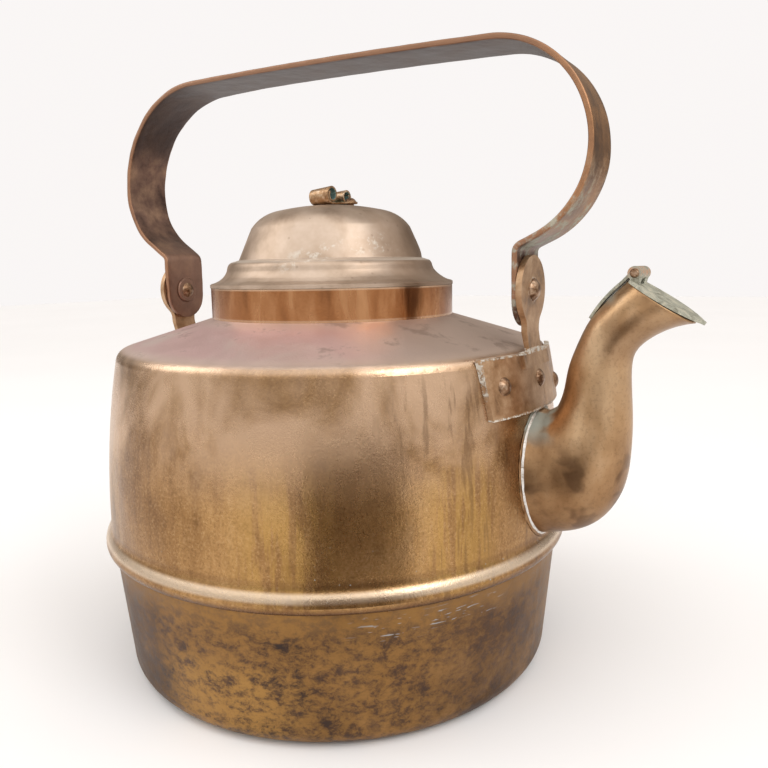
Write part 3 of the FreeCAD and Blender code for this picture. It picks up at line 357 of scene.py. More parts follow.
def wallFinish():
    f = Finish("satin brown copper")
    bearing = f.maths("ARCTAN2", f.y, f.x)  # radians from the spout
    shoulder, bead = levels["shoulder"], levels["bead"]
    cloud = f.noise(0.045, 4, 0.55, 0.6)
    drip = f.noise(0.0045, 3, 0.6, 0.0, scale=(1, 1, 0.09))
    grain = f.noise(0.0009, 2, 0.7)
    blotch = f.noise(0.017, 5, 0.65, 0.3, scale=(1, 1, 0.55))
    tone = f.ramp(cloud * 0.75 + drip * 0.25, (0.3, 118, 84, 52), (0.45, 150, 112, 70),
                  (0.58, 176, 136, 88), (0.72, 190, 152, 108))
    tone = f.mix(f.fade(blotch, 0.54, 0.72) * 0.5, tone, paint(96, 66, 42))
    # fine sandy pitting, dark and light
    sand = f.noise(0.0010, 3, 0.75)
    tone = f.mix(f.fade(sand, 0.5, 0.64) * 0.32, tone, paint(84, 60, 38))
    tone = f.mix(f.fade(sand, 0.47, 0.36) * 0.22, tone, paint(214, 182, 138))
    # painted reflection: yellower patches low down on both sides of the front, golden reflections laid into
    # the colour
    goldReflection = f.band(bearing, -1.15, 0.05, 0.2) + f.band(bearing, -0.52, 0.07, 0.14)
    goldReflection = goldReflection * f.band(f.z, 0.085, 0.012, 0.022) * f.fade(drip, 0.4, 0.55)
    tone = f.mix(goldReflection * 0.38, tone, paint(192, 152, 80))
    # rosier and paler towards the shoulder
    tone = f.mix(f.fade(f.z, 0.09, 0.13) * f.fade(cloud, 0.3, 0.55) * 0.85, tone, paint(212, 178, 148))
    pink = f.fade(f.z, shoulder - 0.001, shoulder + 0.001)
    top = f.mix(f.fade(bearing, -1.1, -0.4), paint(224, 204, 198), paint(198, 178, 166))
    tone = f.mix(pink * 0.92, tone, top)
    rose = f.band(f.z, shoulder + 0.006, 0.003, 0.003) * f.fade(bearing, -0.65, -1.05)
    rose = rose * f.fade(cloud, 0.32, 0.5)
    tone = f.mix(rose * 0.65, tone, paint(216, 180, 178))
    tone = f.mix(pink * f.fade(blotch, 0.55, 0.66) * 0.4, tone, paint(120, 98, 82))
    # painted highlight: a pale line along the shoulder's edge
    tone = f.mix(f.band(f.z, shoulder - 0.0003, 0.0008, 0.0022) * 0.25, tone, paint(228, 206, 186))
    # streaks down the side under the spout
    streak = f.fade(drip, 0.54, 0.66) * f.fade(bearing, -0.95, -0.6) * f.fade(f.z, 0.15, 0.13)
    tone = f.mix(streak * 0.45, tone, paint(92, 66, 48))
    # the bead: painted shade under its crest, paler along its crest (a painted highlight together with
    # rubbed metal), and a thin painted shade line in the crease above it
    tone = f.mix(f.fade(f.z, bead - 0.0027, bead - 0.0057) * 0.75, tone, paint(96, 62, 38))
    tone = f.mix(f.band(f.z, bead, 0.0008, 0.0016) * 0.6, tone, paint(236, 216, 192))
    tone = f.mix(f.band(f.z, bead + 0.0045, 0.0004, 0.0014) * 0.3, tone, paint(110, 78, 50))
    # small pale specks just above the bead
    bloom = f.specks(0.0042, 0.10) * f.fade(f.noise(0.03, 2), 0.52, 0.64) * f.fade(f.z, 0.092, 0.07)
    tone = f.mix(bloom * 0.8, tone, paint(170, 178, 176))
    rough = f.fade(blotch, 0.3, 0.8) * 0.10 + 0.19 + sand * 0.10 + pink * 0.22
    normal = f.bump((f.noise(0.03, 2, 0.5), 0.0009), (f.noise(0.007, 3, 0.6), 0.00010), (sand, 0.00009),
                    (grain, 0.00003))
    return f.finish(colour=tone, rough=rough, metal=0.9 - bloom * 0.7, normal=normal)


def panFinish():
    f = Finish("sooted pan copper with painted dark reflection")
    bearing = f.maths("ARCTAN2", f.y, f.x)  # radians from the spout
    seam = levels["seam"]
    stroke = f.noise(0.0055, 6, 0.78, 0.25, scale=(1, 1, 1.4))
    cloud = f.noise(0.03, 4, 0.6, 0.2)
    fine = f.noise(0.0011, 3, 0.7)
    # the base colour is kept dark: soot, and a painted reflection of a dark floor
    tone = f.ramp(stroke * 0.6 + cloud * 0.4, (0.34, 48, 34, 27), (0.46, 88, 62, 42),
                  (0.56, 122, 90, 56), (0.7, 150, 116, 78))
    # paler close under the seam; darker towards the bottom: soot, and a painted reflection of a dark floor
    tone = f.mix(f.fade(f.z, seam - 0.013, seam) * 0.6, tone, paint(150, 112, 66))
    tone = f.mix(f.fade(f.z, 0.034, 0.004) * f.fade(cloud, 0.7, 0.4) * 0.65, tone, paint(52, 36, 28))
    front = f.band(bearing, -1.15, 0.35, 0.45) * f.fade(stroke, 0.38, 0.6)
    tone = f.mix(front * 0.45, tone, paint(172, 128, 70))
    # a brassy patch low on the front, and pale scratches under the spout
    patch = f.band(bearing, -1.42, 0.10, 0.3) * f.fade(f.z, 0.04, 0.025) * f.fade(stroke, 0.35, 0.6)
    tone = f.mix(patch * 0.5, tone, paint(190, 146, 80))
    scratch = f.fade(f.noise(0.0016, 2, 0.5, 0.4, scale=(0.25, 0.25, 2.2)), 0.63, 0.68)
    scratch = scratch * f.band(f.z, seam - 0.006, 0.003, 0.004) * f.band(bearing, -0.62, 0.2, 0.15)
    tone = f.mix(scratch * 0.8, tone, paint(172, 178, 182))
    rough = f.fade(stroke, 0.3, 0.7) * 0.12 + 0.36 + fine * 0.08
    metal = f.fade(stroke, 0.25, 0.6) * 0.35 + 0.5
    normal = f.bump((f.noise(0.02, 2), 0.0006), (stroke, 0.00022), (fine, 0.00005))
    return f.finish(colour=tone, rough=rough, metal=metal, normal=normal)


def neckFinish():
    f = Finish("rubbed orange copper")
    stain = f.noise(0.011, 4, 0.6, 0.3, scale=(1, 1, 0.25))
    fine = f.noise(0.001, 2, 0.6)
    tone = f.ramp(stain, (0.3, 122, 78, 48), (0.5, 162, 108, 68), (0.7, 190, 140, 98))
    # painted highlight: a pale line round the neck's foot
    tone = f.mix(f.band(f.z, levels["neckFoot"], 0.0002, 0.0006) * 0.4, tone, paint(222, 190, 160))
    # painted highlight: a pale line along the neck's rim
    tone = f.mix(f.band(f.z, levels["neckRim"], 0.0002, 0.0004) * 0.5, tone, paint(230, 200, 170))
    rough = stain * 0.22 + 0.14
    return f.finish(colour=tone, rough=rough, metal=0.95, normal=f.bump((stain, 0.00025), (fine, 0.00002)))


def lidFinish():
    f = Finish("matt lid copper")
    cloud = f.noise(0.02, 4, 0.6, 0.1)
    smear = f.noise(0.0045, 5, 0.75, 0.2)
    fine = f.noise(0.0009, 2, 0.7)
    tone = f.ramp(cloud, (0.3, 146, 124, 104), (0.5, 184, 162, 142), (0.72, 204, 184, 166))
    # browner towards the spout and the far side, lime below the dome on the spout's side
    side = f.fade(f.x * 0.85 + f.y * 0.52, 0.005, 0.042)
    tone = f.mix(side * 0.6, tone, paint(122, 94, 70))
    lime = f.fade(smear, 0.5, 0.68) * f.band(f.z - f.x * 0.28, 0.181, 0.002, 0.004)
    lime = lime * f.fade(f.x, 0.0, 0.016) * f.fade(f.y, 0.0, -0.015)
    tone = f.mix(lime * 0.75, tone, paint(214, 208, 196))
    # painted highlight: a pale line along the lid's step
    tone = f.mix(f.band(f.z, levels["lidStep"], 0.0003, 0.0007) * 0.6, tone, paint(244, 232, 218))
    spot = f.specks(0.006, 0.13)
    tone = f.mix(spot * 0.25, tone, paint(104, 78, 58))
    rough = cloud * 0.16 + 0.36
    normal = f.bump((f.noise(0.016, 2), 0.0006), (smear, 0.00008), (fine, 0.00003))
    return f.finish(colour=tone, rough=rough, metal=0.82 - lime * 0.6, normal=normal)


def spoutFinish():
    f = Finish("spout copper")
    cloud = f.noise(0.022, 4, 0.6, 0.1, scale=(1, 1, 0.5))
    blot = f.noise(0.011, 2.5, 0.5, 0.2)
    sand = f.noise(0.0013, 3, 0.75)
    fine = f.noise(0.0009, 2, 0.7)
    tone = f.ramp(cloud, (0.3, 134, 100, 68), (0.5, 178, 142, 104), (0.7, 204, 172, 136))
    # painted shade: darker low down, where the spout's belly faces down
    tone = f.mix(f.fade(f.z, 0.12, 0.085) * 0.55, tone, paint(128, 92, 58))
    tone = f.mix(f.fade(blot, 0.52, 0.64) * f.fade(f.z, 0.12, 0.1) * 0.5, tone, paint(74, 50, 36))
    stain = f.band(f.z, 0.152, 0.004, 0.008) * f.fade(f.x, 0.128, 0.136)
    tone = f.mix(stain * 0.5, tone, paint(110, 78, 52))
    tone = f.mix(f.fade(sand, 0.5, 0.66) * 0.2, tone, paint(84, 60, 40))
    # verdigris where the top of the root meets the wall, and by the hinge
    green = f.fade(f.z, 0.108, 0.118) * f.fade(f.x, 0.1165, 0.111) * f.fade(blot, 0.4, 0.55)
    green = f.maths("MAXIMUM", green, f.fade(f.z, 0.164, 0.168) * f.fade(f.x, 0.136, 0.132) * 0.8)
    tone = f.mix(green * 0.8, tone, paint(150, 158, 150))
    rough = blot * 0.16 + 0.27 + green * 0.25
    normal = f.bump((f.noise(0.014, 2), 0.0006), (blot, 0.0001), (fine, 0.00003))
    return f.finish(colour=tone, rough=rough, metal=0.9 - green * 0.6, normal=normal)


def earFinish():
    f = Finish("mottled ear copper")
    blot = f.noise(0.009, 5, 0.65, 0.1)
    crustMap = f.noise(0.0022, 4, 0.7, 0.2)
    fine = f.noise(0.0008, 2, 0.7)
    tone = f.ramp(blot, (0.3, 124, 94, 68), (0.48, 170, 134, 100), (0.66, 196, 164, 132))
    # lime along the plate's edges and round the pivot
    edge = f.maths("MAXIMUM", f.fade(f.z, 0.1248, 0.1228), f.band(f.z, 0.1465, 0.0008, 0.0012))
    edge = f.maths("MAXIMUM", edge, f.fade(f.maths("ABSOLUTE", f.y), 0.0364, 0.0386))
    above = f.z - levels["pivot"]
    reach = f.maths("SQRT", f.y * f.y + above * above)
    edge = f.maths("MAXIMUM", edge, f.fade(reach, 0.0085, 0.005) * 0.8)
    crust = f.fade(edge * 0.40 + crustMap * 0.85, 0.74, 0.88)
    tone = f.mix(crust * 0.9, tone, paint(204, 198, 186))
    rough = f.fade(blot, 0.3, 0.7) * 0.15 + 0.33 + crust * 0.35
    normal = f.bump((blot, 0.0004), (crust + crustMap * 0.5, 0.00025), (fine, 0.00003))
    return f.finish(colour=tone, rough=rough, metal=0.86 - crust * 0.8, normal=normal)


def rivetFinish():
    f = Finish("hammered rivet copper")
    blot = f.noise(0.0025, 4, 0.65, 0.8)
    tone = f.ramp(blot, (0.3, 84, 60, 44), (0.5, 138, 106, 80), (0.68, 182, 156, 132))
    return f.finish(colour=tone, rough=blot * 0.2 + 0.26, metal=0.9, normal=f.bump((blot, 0.00007)))


def bailFinish():
    f = Finish("dark strap copper")
    blot = f.noise(0.012, 5, 0.65, 0.1)
    grain = f.noise(0.0013, 3, 0.7)
    grip = f.fade(f.z, *levels["grip"])
    tone = f.ramp(blot, (0.3, 72, 54, 48), (0.5, 114, 88, 75), (0.7, 148, 118, 96))
    tone = f.mix(grip * 0.85, tone, paint(50, 37, 33))
    tone = f.mix(f.fade(f.z, 0.2, 0.185) * f.fade(f.x, 0.0, -0.02) * 0.5, tone, paint(158, 122, 104))
    outside = f.fade(f.x, 0.1, 0.116)
    tone = f.mix(outside * 0.7, tone, f.ramp(blot, (0.35, 110, 76, 42), (0.65, 168, 120, 70)))
    edge = f.fade(f.maths("ABSOLUTE", f.y), 0.0116, 0.0126)
    tone = f.mix(edge * 0.6, tone, paint(178, 132, 100))
    bloom = f.noise(0.006, 4, 0.7, 0.2)
    green = f.fade(f.x, 0.085, 0.1) * f.fade(f.z, 0.225, 0.195) * f.fade(bloom, 0.46, 0.62)
    tone = f.mix(green * 0.65, tone, paint(170, 180, 166))
    rough = blot * 0.2 + 0.3 + green * 0.3
    normal = f.bump((f.noise(0.013, 2), 0.0007), (blot, 0.00018), (grain, 0.00006))
    metal = 0.88 - f.maths("MAXIMUM", green, grip * 0.4) * 0.7
    return f.finish(colour=tone, rough=rough, metal=metal, normal=normal)


def trimFinish():
    f = Finish("green bloomed copper")
    blot = f.noise(0.004, 4, 0.65, 1.0)
    tone = f.ramp(blot, (0.3, 122, 116, 98), (0.5, 172, 172, 156), (0.7, 206, 198, 176))
    tone = f.mix(f.fade(f.z, 0.1745, 0.1775) * f.fade(blot, 0.42, 0.6) * 0.6, tone, paint(186, 122, 80))
    return f.finish(colour=tone, rough=blot * 0.2 + 0.42, metal=0.5, normal=f.bump((blot, 0.0003)))


def finialFinish():
    f = Finish("finial copper")
    blot = f.noise(0.0035, 4, 0.65, 1.0)
    tone = f.ramp(blot, (0.3, 120, 88, 62), (0.5, 178, 142, 106), (0.7, 222, 200, 174))
    return f.finish(colour=tone, rough=blot * 0.2 + 0.3, metal=0.85, normal=f.bump((blot, 0.00025)))


def verdigrisFinish():
    f = Finish("verdigris inside the scrolls")
    blot = f.noise(0.002, 4, 0.7, 0.8)
    tone = f.ramp(blot, (0.3, 74, 92, 88), (0.55, 128, 158, 152), (0.75, 178, 196, 188))
    return f.finish(colour=tone, rough=blot * 0.2 + 0.6, metal=0.15, normal=f.bump((blot, 0.0003)))


def solderFinish():
    f = Finish("dull solder")
    blot = f.noise(0.003, 4, 0.65, 1.0)
    tone = f.ramp(blot, (0.3, 160, 146, 130), (0.45, 222, 218, 212), (0.7, 240, 238, 234))
    return f.finish(colour=tone, rough=blot * 0.25 + 0.3, metal=0.7, normal=f.bump((blot, 0.0004)))


finishes = {
    "brown_copper": wallFinish(),
    "sooted_pan": panFinish(),
    "rubbed_copper": neckFinish(),
    "lid_copper": lidFinish(),
    "spout_copper": spoutFinish(),
    "ear_copper": earFinish(),
    "rivet_copper": rivetFinish(),
    "dark_copper": bailFinish(),
    "green_trim": trimFinish(),
    "finial_copper": finialFinish(),
}
verdigris = verdigrisFinish()
solder = solderFinish()
for row in frame["record"]["subparts"]:
    node = frame["nodes"][row["node"]]
    node.data.materials.clear()
    node.data.materials.append(finishes[row["material_slot"]])
    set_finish(node, row["material_slot"])
print("finishes made")


spoutSizes = dict(
    # inner point (x, height), outer point (x, height) and half width of each ring, from root to mouth
    rings=[(102, 121.6, 102, 69, 21), (106.6, 120.4, 108.6, 71, 19.6),
           (109.3, 121.2, 118.4, 73.3, 19), (111.6, 122.7, 129.4, 79.6, 18.2),
           (113.1, 124.9, 137.4, 93.2, 16.4), (114.1, 127.6, 139.6, 107, 14.2),
           (115.3, 132.2, 139.6, 121.2, 12), (117.1, 141.1, 138.9, 136.4, 10.7),
           (120, 149.6, 139.3, 145.2, 9.7), (123.7, 157.4, 142.4, 150.6, 9.6),
           (128.8, 164, 149.4, 155.6, 10.1), (136.6, 171.9, 158.2, 159, 11.4),
           (146, 180, 168, 160.4, 12.4)],
    mouth=((137.5, 174.55), (163.6, 158.5)),  # back and tip of the mouth's slope
    sheet=1.1,
    flange=2.7,  # width of the collar round the root
    solderHeight=1.3,
    dents=0.25,
    wallUnrolled=106,  # radius at which the wall round the root is laid flat
)


# the wall's side: an arc of this radius, widest at its foot
wallSizes = dict(widest=106.85, curve=385.0, foot=69.8)


def wallRadius(height):
    # widest - curve + the square root of (curve squared - height above the foot squared)
    curve = wallSizes["curve"]
    return wallSizes["widest"] - curve + np.sqrt(curve ** 2 - (height - wallSizes["foot"]) ** 2)


def spoutSurface(sizes, steps, around):
    # oval rings run through a spline, and each line from root to mouth is then cut at the wall and at the
    # mouth's slope
    rings = np.array(sizes["rings"], float)
    middles = (rings[:, :2] + rings[:, 2:4]) / 2
    run = np.concatenate([[0], np.cumsum(np.linalg.norm(np.diff(middles, axis=0), axis=1))])
    angle = np.linspace(0, 2 * np.pi, around, endpoint=False)

    def shape(places):
        # places is (rows, columns); a ring is its middle + cos(a) * half chord + sin(a) * half width
        ring = splineThrough(run, rings, places.ravel()).reshape(*places.shape, 5)
        inner, outer, wide = ring[..., :2], ring[..., 2:4], ring[..., 4]
        flat = (inner + outer) / 2 + (outer - inner) / 2 * np.cos(angle)[None, :, None]
        return np.stack([flat[..., 0], wide * np.sin(angle), flat[..., 1]], -1)

    dense = np.repeat(np.linspace(0, run[-1], 1500)[:, None], around, 1)
    points = shape(dense)
    past = np.hypot(points[..., 0], points[..., 1]) - wallRadius(points[..., 2]) - 0.05
    (backX, backZ), (tipX, tipZ) = sizes["mouth"]
    over = (points[..., 0] - backX) * (backZ - tipZ) + (points[..., 2] - backZ) * (tipX - backX)
    columns = np.arange(around)

    def crossing(distance, beyond):
        # where each line's signed distance turns positive, between the rows before and after
        row = np.argmax(beyond, axis=0)
        before, after = distance[row - 1, columns], distance[row, columns]
        return dense[row - 1, 0] + before / (before - after) * (dense[1, 0] - dense[0, 0])

    start = crossing(past, past > 0)
    stop = crossing(over, (over > 0) & (dense > run[-1] / 2))
    rows = np.linspace(0, 1, steps)[:, None]
    return shape(start + (stop - start) * rows)


def makeSpout(sizes):
    steps, around = ((220, 160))
    skin = spoutSurface(sizes, steps, around)
    spread = skin - skin.mean(1, keepdims=True)
    spread /= np.linalg.norm(spread, axis=2, keepdims=True)
    # shallow dents: the product of two slanting waves, fading out at both ends
    x, y, z = skin[..., 0], skin[..., 1], skin[..., 2]
    bumps = np.sin(z * 0.21 + y * 0.13 + 1.0) * np.sin(x * 0.17 - y * 0.2)
    rows = np.linspace(0, 1, steps)[:, None]
    skin -= spread * (sizes["dents"] * (0.5 + 0.5 * bumps) * np.sin(np.pi * rows) ** 0.5)[..., None]
    makePiece("spout_tube", [skin], finishes["spout_copper"], "kettle", "spout_copper", ["spout"],
              thick=sizes["sheet"], sharp=60)
    root = skin[0]
    # collar and solder: strips that leave the root line square to it, along the wall
    unrolled = sizes["wallUnrolled"]
    turn = np.unwrap(np.arctan2(root[:, 1], root[:, 0]))
    flat = np.stack([turn * unrolled, root[:, 2]], 1)
    way = np.roll(flat, -3, 0) - np.roll(flat, 3, 0)
    out = np.stack([way[:, 1], -way[:, 0]], 1) / np.linalg.norm(way, axis=1)[:, None]
    out *= np.sign(((flat - flat.mean(0)) * out).sum(1).mean())

    def strip(profile, name, finish, slot):
        # profile rows: distance outwards, height over the wall, unevenness of the distance
        rows = []
        for number, (away, high, uneven) in enumerate(profile):
            reach = away + uneven * ringWobble(len(root), 40 + number)
            spot = flat + out * reach[:, None]
            rise = wallRadius(spot[:, 1]) + high
            bearing = spot[:, 0] / unrolled
            rows.append(np.stack([rise * np.cos(bearing), rise * np.sin(bearing), spot[:, 1]], 1))
        makePiece(name, [np.stack(rows)], finish, "kettle", slot, wrapAlong=True, sharp=70)

    wide, high = sizes["flange"], sizes["solderHeight"]
    strip([(-0.9, 0.02, 0), (-0.9, 0.42, 0), (wide * 0.5, 0.45, 0.1), (wide - 0.25, 0.42, 0.25),
           (wide, 0.25, 0.25), (wide, 0.02, 0.25)],
          "spout_collar", finishes["spout_copper"], "spout_copper")
    strip([(-0.8, 0.3, 0), (-0.5, high, 0.1), (0.2, high * 0.95, 0.1), (0.9, high * 0.75, 0.25),
           (1.6, 0.48, 0.3), (0.3, 0.3, 0)], "spout_solder", solder, "spout_copper")


makeSpout(spoutSizes)
print("spout made")


bailSizes = dict(
    wide=25.6, thick=2.3,
    ends=(-99.65, 96.25),  # x of the strap's middle line beside the pivots
    foot=156.0,            # height of the strap's rounded ends
    elbow=(188.2, 3.4),    # height and radius of the lower bends
    rear=(-125.2, 222.7, 32.5, 50.1),  # outermost place, radius below it, radius above it
    front=(125.2, 224.9, 36.5, 42.7),
    rise=0.9,              # how far the grip bows up
    wornEdge=0.75,
    twist=-0.05,           # turn of the rear upper bend, radians
)


def bailLine(sizes):
    # the middle line in the XZ plane: end, bend, straight, lower arc, upper arc, the grip's long arc, and
    # down again
    def sideRows(name, side):
        x = sizes["ends"][0 if side < 0 else 1]
        outX, outZ, low = sizes[name][:3]
        centre = complex(outX - side * low, outZ)
        elbow = complex(x, sizes["elbow"][0])
        away = elbow - centre
        bearing = math.atan2(away.imag, away.real) + side * math.acos(low / abs(away))
        touch = centre + low * complex(math.cos(bearing), math.sin(bearing))
        back = complex(0, -1)
        ahead = (touch - elbow) / abs(touch - elbow)
        half = math.acos((back * ahead.conjugate()).real) / 2
        reach = sizes["elbow"][1] / math.tan(half)
        end, widest = complex(x, sizes["foot"]), complex(outX, outZ)
        return end, elbow + back * reach, elbow + ahead * reach, touch, widest

    rear = sideRows("rear", -1)
    front = sideRows("front", 1)
    rearHigh, frontHigh = sizes["rear"][3], sizes["front"][3]
    rearCentre = rear[4] + rearHigh
    frontCentre = front[4] - frontHigh
    span = frontCentre - rearCentre
    gripRad = (abs(span) ** 2 / 4 + sizes["rise"] ** 2) / (2 * sizes["rise"])
    rearGap, frontGap = gripRad - rearHigh, gripRad - frontHigh
    forward = (rearGap ** 2 - frontGap ** 2 + abs(span) ** 2) / (2 * abs(span))
    below = math.sqrt(rearGap ** 2 - forward ** 2)
    gripCentre = rearCentre + span / abs(span) * complex(forward, -below)
    rearTop = gripCentre + (rearCentre - gripCentre) / rearGap * gripRad
    frontTop = gripCentre + (frontCentre - gripCentre) / frontGap * gripRad
    bend = sizes["elbow"][1]
    rows = [(rear[0],), (rear[1], bend), (rear[2],), (rear[3], -sizes["rear"][2]), (rear[4], -rearHigh),
            (rearTop, -gripRad), (frontTop, -frontHigh), (front[4], -sizes["front"][2]), (front[3],),
            (front[2], bend), (front[1],), (front[0],)]
    return drawLine([(row[0].real, row[0].imag, *row[1:]) for row in rows], 0.25)


def makeBail(sizes):
    line = bailLine(sizes)
    length = np.linalg.norm(np.diff(line, axis=0), axis=1).sum()
    places = spaced(length, 16, 420)
    spots, way = along(line, places)
    across, through = barLoop(sizes["wide"] / 2, sizes["thick"] / 2, sizes["wornEdge"], 5, 13)
    slim = softEnds(places, length, sizes["wide"] / 2)
    closed = np.where((places > 0) & (places < length), 1.0, 0.0)
    # edges are never quite straight, and the strap is a little dished along its middle
    edge = 1 - 0.012 * np.abs(wobble(places, 1.0, 3))
    dish = 0.18 * (1 - (across / across.max()) ** 2)
    lean = sizes["twist"] * np.exp(-((places - 0.30 * length) / 30) ** 2)
    wide = across[None] * (slim * edge)[:, None]
    deep = (through[None] - dish[None] * np.sin(np.pi * places / length)[:, None]) * closed[:, None]
    sideways = wide * np.cos(lean)[:, None] - deep * np.sin(lean)[:, None]
    # the twist only turns inwards, so that neither edge leaves the strap's outer side
    inwards = sizes["wide"] / 2 * np.abs(np.sin(lean)) * (slim > 0)
    outwards = wide * np.sin(lean)[:, None] + deep * np.cos(lean)[:, None] - inwards[:, None]
    out = np.stack([-way[:, 1], way[:, 0]], 1)
    grid = np.stack([spots[:, :1] + out[:, :1] * outwards, sideways,
                     spots[:, 1:] + out[:, 1:] * outwards], -1)
    makePiece("bail_handle", [grid], finishes["dark_copper"], "bail", "dark_copper", ["bail_strap"],
              sharp=50)


makeBail(bailSizes)
print("bail made")


lidSizes = dict(
    # (radius, height) from the middle to the edge, with the radius of the arc that follows
    outline=[(0, 210.1), (3, 210.1, -113), (25, 207.4, -18.6), (37.3, 199.6), (43.7, 185.3),
             (47.2, 184.3, -3.4), (49.1, 182.2), (49.6, 180.2, 9.5), (56.5, 174.75), (57.2, 174.25),
             (57.2, 172.95)],
    # and back again inside
    lining=[(55.45, 172.95), (55.45, 174.25), (48.6, 179.7), (48.3, 181.4), (46.6, 183.3), (42.7, 184.5),
            (36.3, 199.3), (24.8, 206.4), (3, 209.1), (0, 209.1)],
    dent=1.9, dentBearing=35, dentSpread=24,  # a flat beaten into the step
)


def makeLid(sizes):
    outer = drawLine(sizes["outline"], 0.5)
    inner = drawLine(sizes["lining"], 1.2)
    grid = turned(np.concatenate([outer, inner]), 288)
    bearing = np.arctan2(grid[..., 1], grid[..., 0])
    away = (bearing - math.radians(sizes["dentBearing"])) / math.radians(sizes["dentSpread"])
    radius = np.hypot(grid[..., 0], grid[..., 1])
    high = np.exp(-((grid[..., 2] - 182.0) / 4.5) ** 2)
    push = sizes["dent"] * np.exp(-away ** 2) * high
    waves = np.sin(bearing * 5 + 0.8) * np.sin(bearing * 3 + grid[..., 2] * 0.1)
    ripple = 0.22 * waves * (radius / 57) ** 2
    push = (push + np.abs(ripple) * (grid[..., 2] > 176)) / np.maximum(radius, 1e-6)
    grid[..., 0] -= grid[..., 0] * push
    grid[..., 1] -= grid[..., 1] * push
    makePiece("lid_dome", [grid], finishes["lid_copper"], "lid", "lid_copper", ["lid_crown"], sharp=38)


finialSizes = dict(
    wide=11.0, sheet=0.9, foot=210.15,
    near=(-5.8, 4.3), far=(5.8, 3.8),  # y and outer radius of each scroll at its open end
    taper=0.84,                        # size of a scroll's back end against its front
    turns=1.35,
    tighten=0.42,                      # how much of a scroll's radius is gone at its inner end
    tongue=(14.6, 6.4),                # length and width
)


def makeFinial(sizes):
    # each scroll: from the strip's foot outwards, up and over, and once more inside
    steps, sheet = 90, sizes["sheet"]
    x = np.linspace(-sizes["wide"] / 2, sizes["wide"] / 2, 15)
    small = sizes["taper"] + (1 - sizes["taper"]) * (x - x[0]) / sizes["wide"]
    grids = []
    for side, (y, radius) in ((-1, sizes["near"]), (1, sizes["far"])):
        share = np.linspace(0, 1, steps)
        angle = -math.pi / 2 + side * 2 * math.pi * sizes["turns"] * share
        reach = (radius - sheet / 2) * (1 - sizes["tighten"] * share ** 1.3)
        flatY = np.concatenate([np.linspace(-side * 1.0, y, 8)[:-1], y + reach * np.cos(angle)])
        flatZ = np.concatenate([np.zeros(7), radius - sheet / 2 + reach * np.sin(angle)])
        middle = y + (flatY - y) * small[:, None]
        high = sizes["foot"] + sheet / 2 + flatZ * small[:, None]
        grids.append(np.stack([x[:, None] + 0 * middle, middle, high], -1))
    piece = makePiece("finial_rolls", grids, finishes["finial_copper"], "lid", "finial_copper",
                      ["finial_scroll"], wrapAcross=False, thick=sheet, lining=verdigris, sharp=50)
    piece.modifiers["thickness"].offset = 0.0
    worn = piece.modifiers.new("worn edges", "BEVEL")
    worn.width = 0.15 * mm
    worn.segments = 2
    long, wide = sizes["tongue"]
    places = spaced(long, 10, 24)
    across, through = barLoop(wide / 2, sheet / 2, 0.35, 4, 7)
    # rounded at its outer end, and closed off square under the rolls
    slim = softEnds(long - places, 2 * long, wide / 2) * (places > 0)
    grid = np.stack([places[:, None] + 0 * across, across * slim[:, None],
                     sizes["foot"] + sheet / 2 + through * (slim > 0)[:, None]], -1)
    makePiece("finial_tongue", [grid], finishes["finial_copper"], "lid", "finial_copper", sharp=50)


makeLid(lidSizes)
makeFinial(finialSizes)
print("lid and finial made")


# node: the name of its finer copy, and the width of its worn edges in millimetres
wornEdges = {
    "front_ear": ("front_ear_plate", 0.5),
    "rear_ear": ("rear_ear_plate", 0.5),
    "spout_flap": ("spout_flap_leaf", 0.25),
    "spout_hinge_strap": ("spout_hinge_band", 0.2),
}
wornAngle = 35  # degrees; sharper edges than this are worn


def wornCopy(node, name, width):
    # the frame's own shape, copied and with its flat triangles joined, so that its edges can be rounded
    source = frame["nodes"][node]
    piece = bpy.data.objects.new(name, source.data.copy())
    bpy.context.scene.collection.objects.link(piece)
    work = bmesh.new()
    work.from_mesh(piece.data)
    bmesh.ops.remove_doubles(work, verts=work.verts, dist=2e-6)
    bmesh.ops.dissolve_limit(work, angle_limit=math.radians(1.0), verts=work.verts, edges=work.edges)
    work.to_mesh(piece.data)
    work.free()
    if piece.data.has_custom_normals:
        piece.data.attributes.remove(piece.data.attributes["custom_normal"])
    piece.data.shade_smooth()
    worn = piece.modifiers.new("worn edges", "BEVEL")
    worn.width = width * mm
    worn.segments = 3
    worn.limit_method = "ANGLE"
    worn.angle_limit = math.radians(wornAngle)
    worn.harden_normals = True
    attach(piece, source["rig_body"])
    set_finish(piece, source["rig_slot"])
    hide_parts(node)


for node, (name, width) in wornEdges.items():
    wornCopy(node, name, width)
print("ears, flap and hinge strap made")


rivetSizes = dict(
    # of each ear: degrees round the kettle, height, and how far the wall leans there
    bearings=(-16, 0, 16), heights=(134.6, 134.6, 129.6), lean=9.4,
    head=3.6, dome=1.7,       # radius and height of a head
    tail=3.0, tailDome=1.1,   # and of its end inside the kettle
    plate=2.05, wall=1.3,     # what the rivet goes through
    # of each pivot: height, radius and height of its head and of its peened end
    pivotHeight=170.8,
    pivotHead=4.6, pivotDome=2.4,
    peen=3.9, peenDome=1.9,
    front=(100.25, 93.95),    # how far out the ear's outer face and the washer's inner face are
    rear=(103.55, 97.35),
)


def dome(radius, height, seed, power=2.4):
    # a squashed dome, height * (1 - (r / radius) ** power), uneven round its outline, with a short skirt
    share = np.sin(np.linspace(0, math.pi / 2, 14))
    profile = np.stack([share * radius, height * (1 - share ** power)], 1)
    profile = np.concatenate([profile, [[radius, -0.25], [radius * 0.9, -0.4], [0, -0.4]]])
    grid = turned(profile, 48)
    uneven = 1 + 0.035 * ringWobble(48, seed)
    grid[..., :2] *= uneven[None, :, None]
    return grid


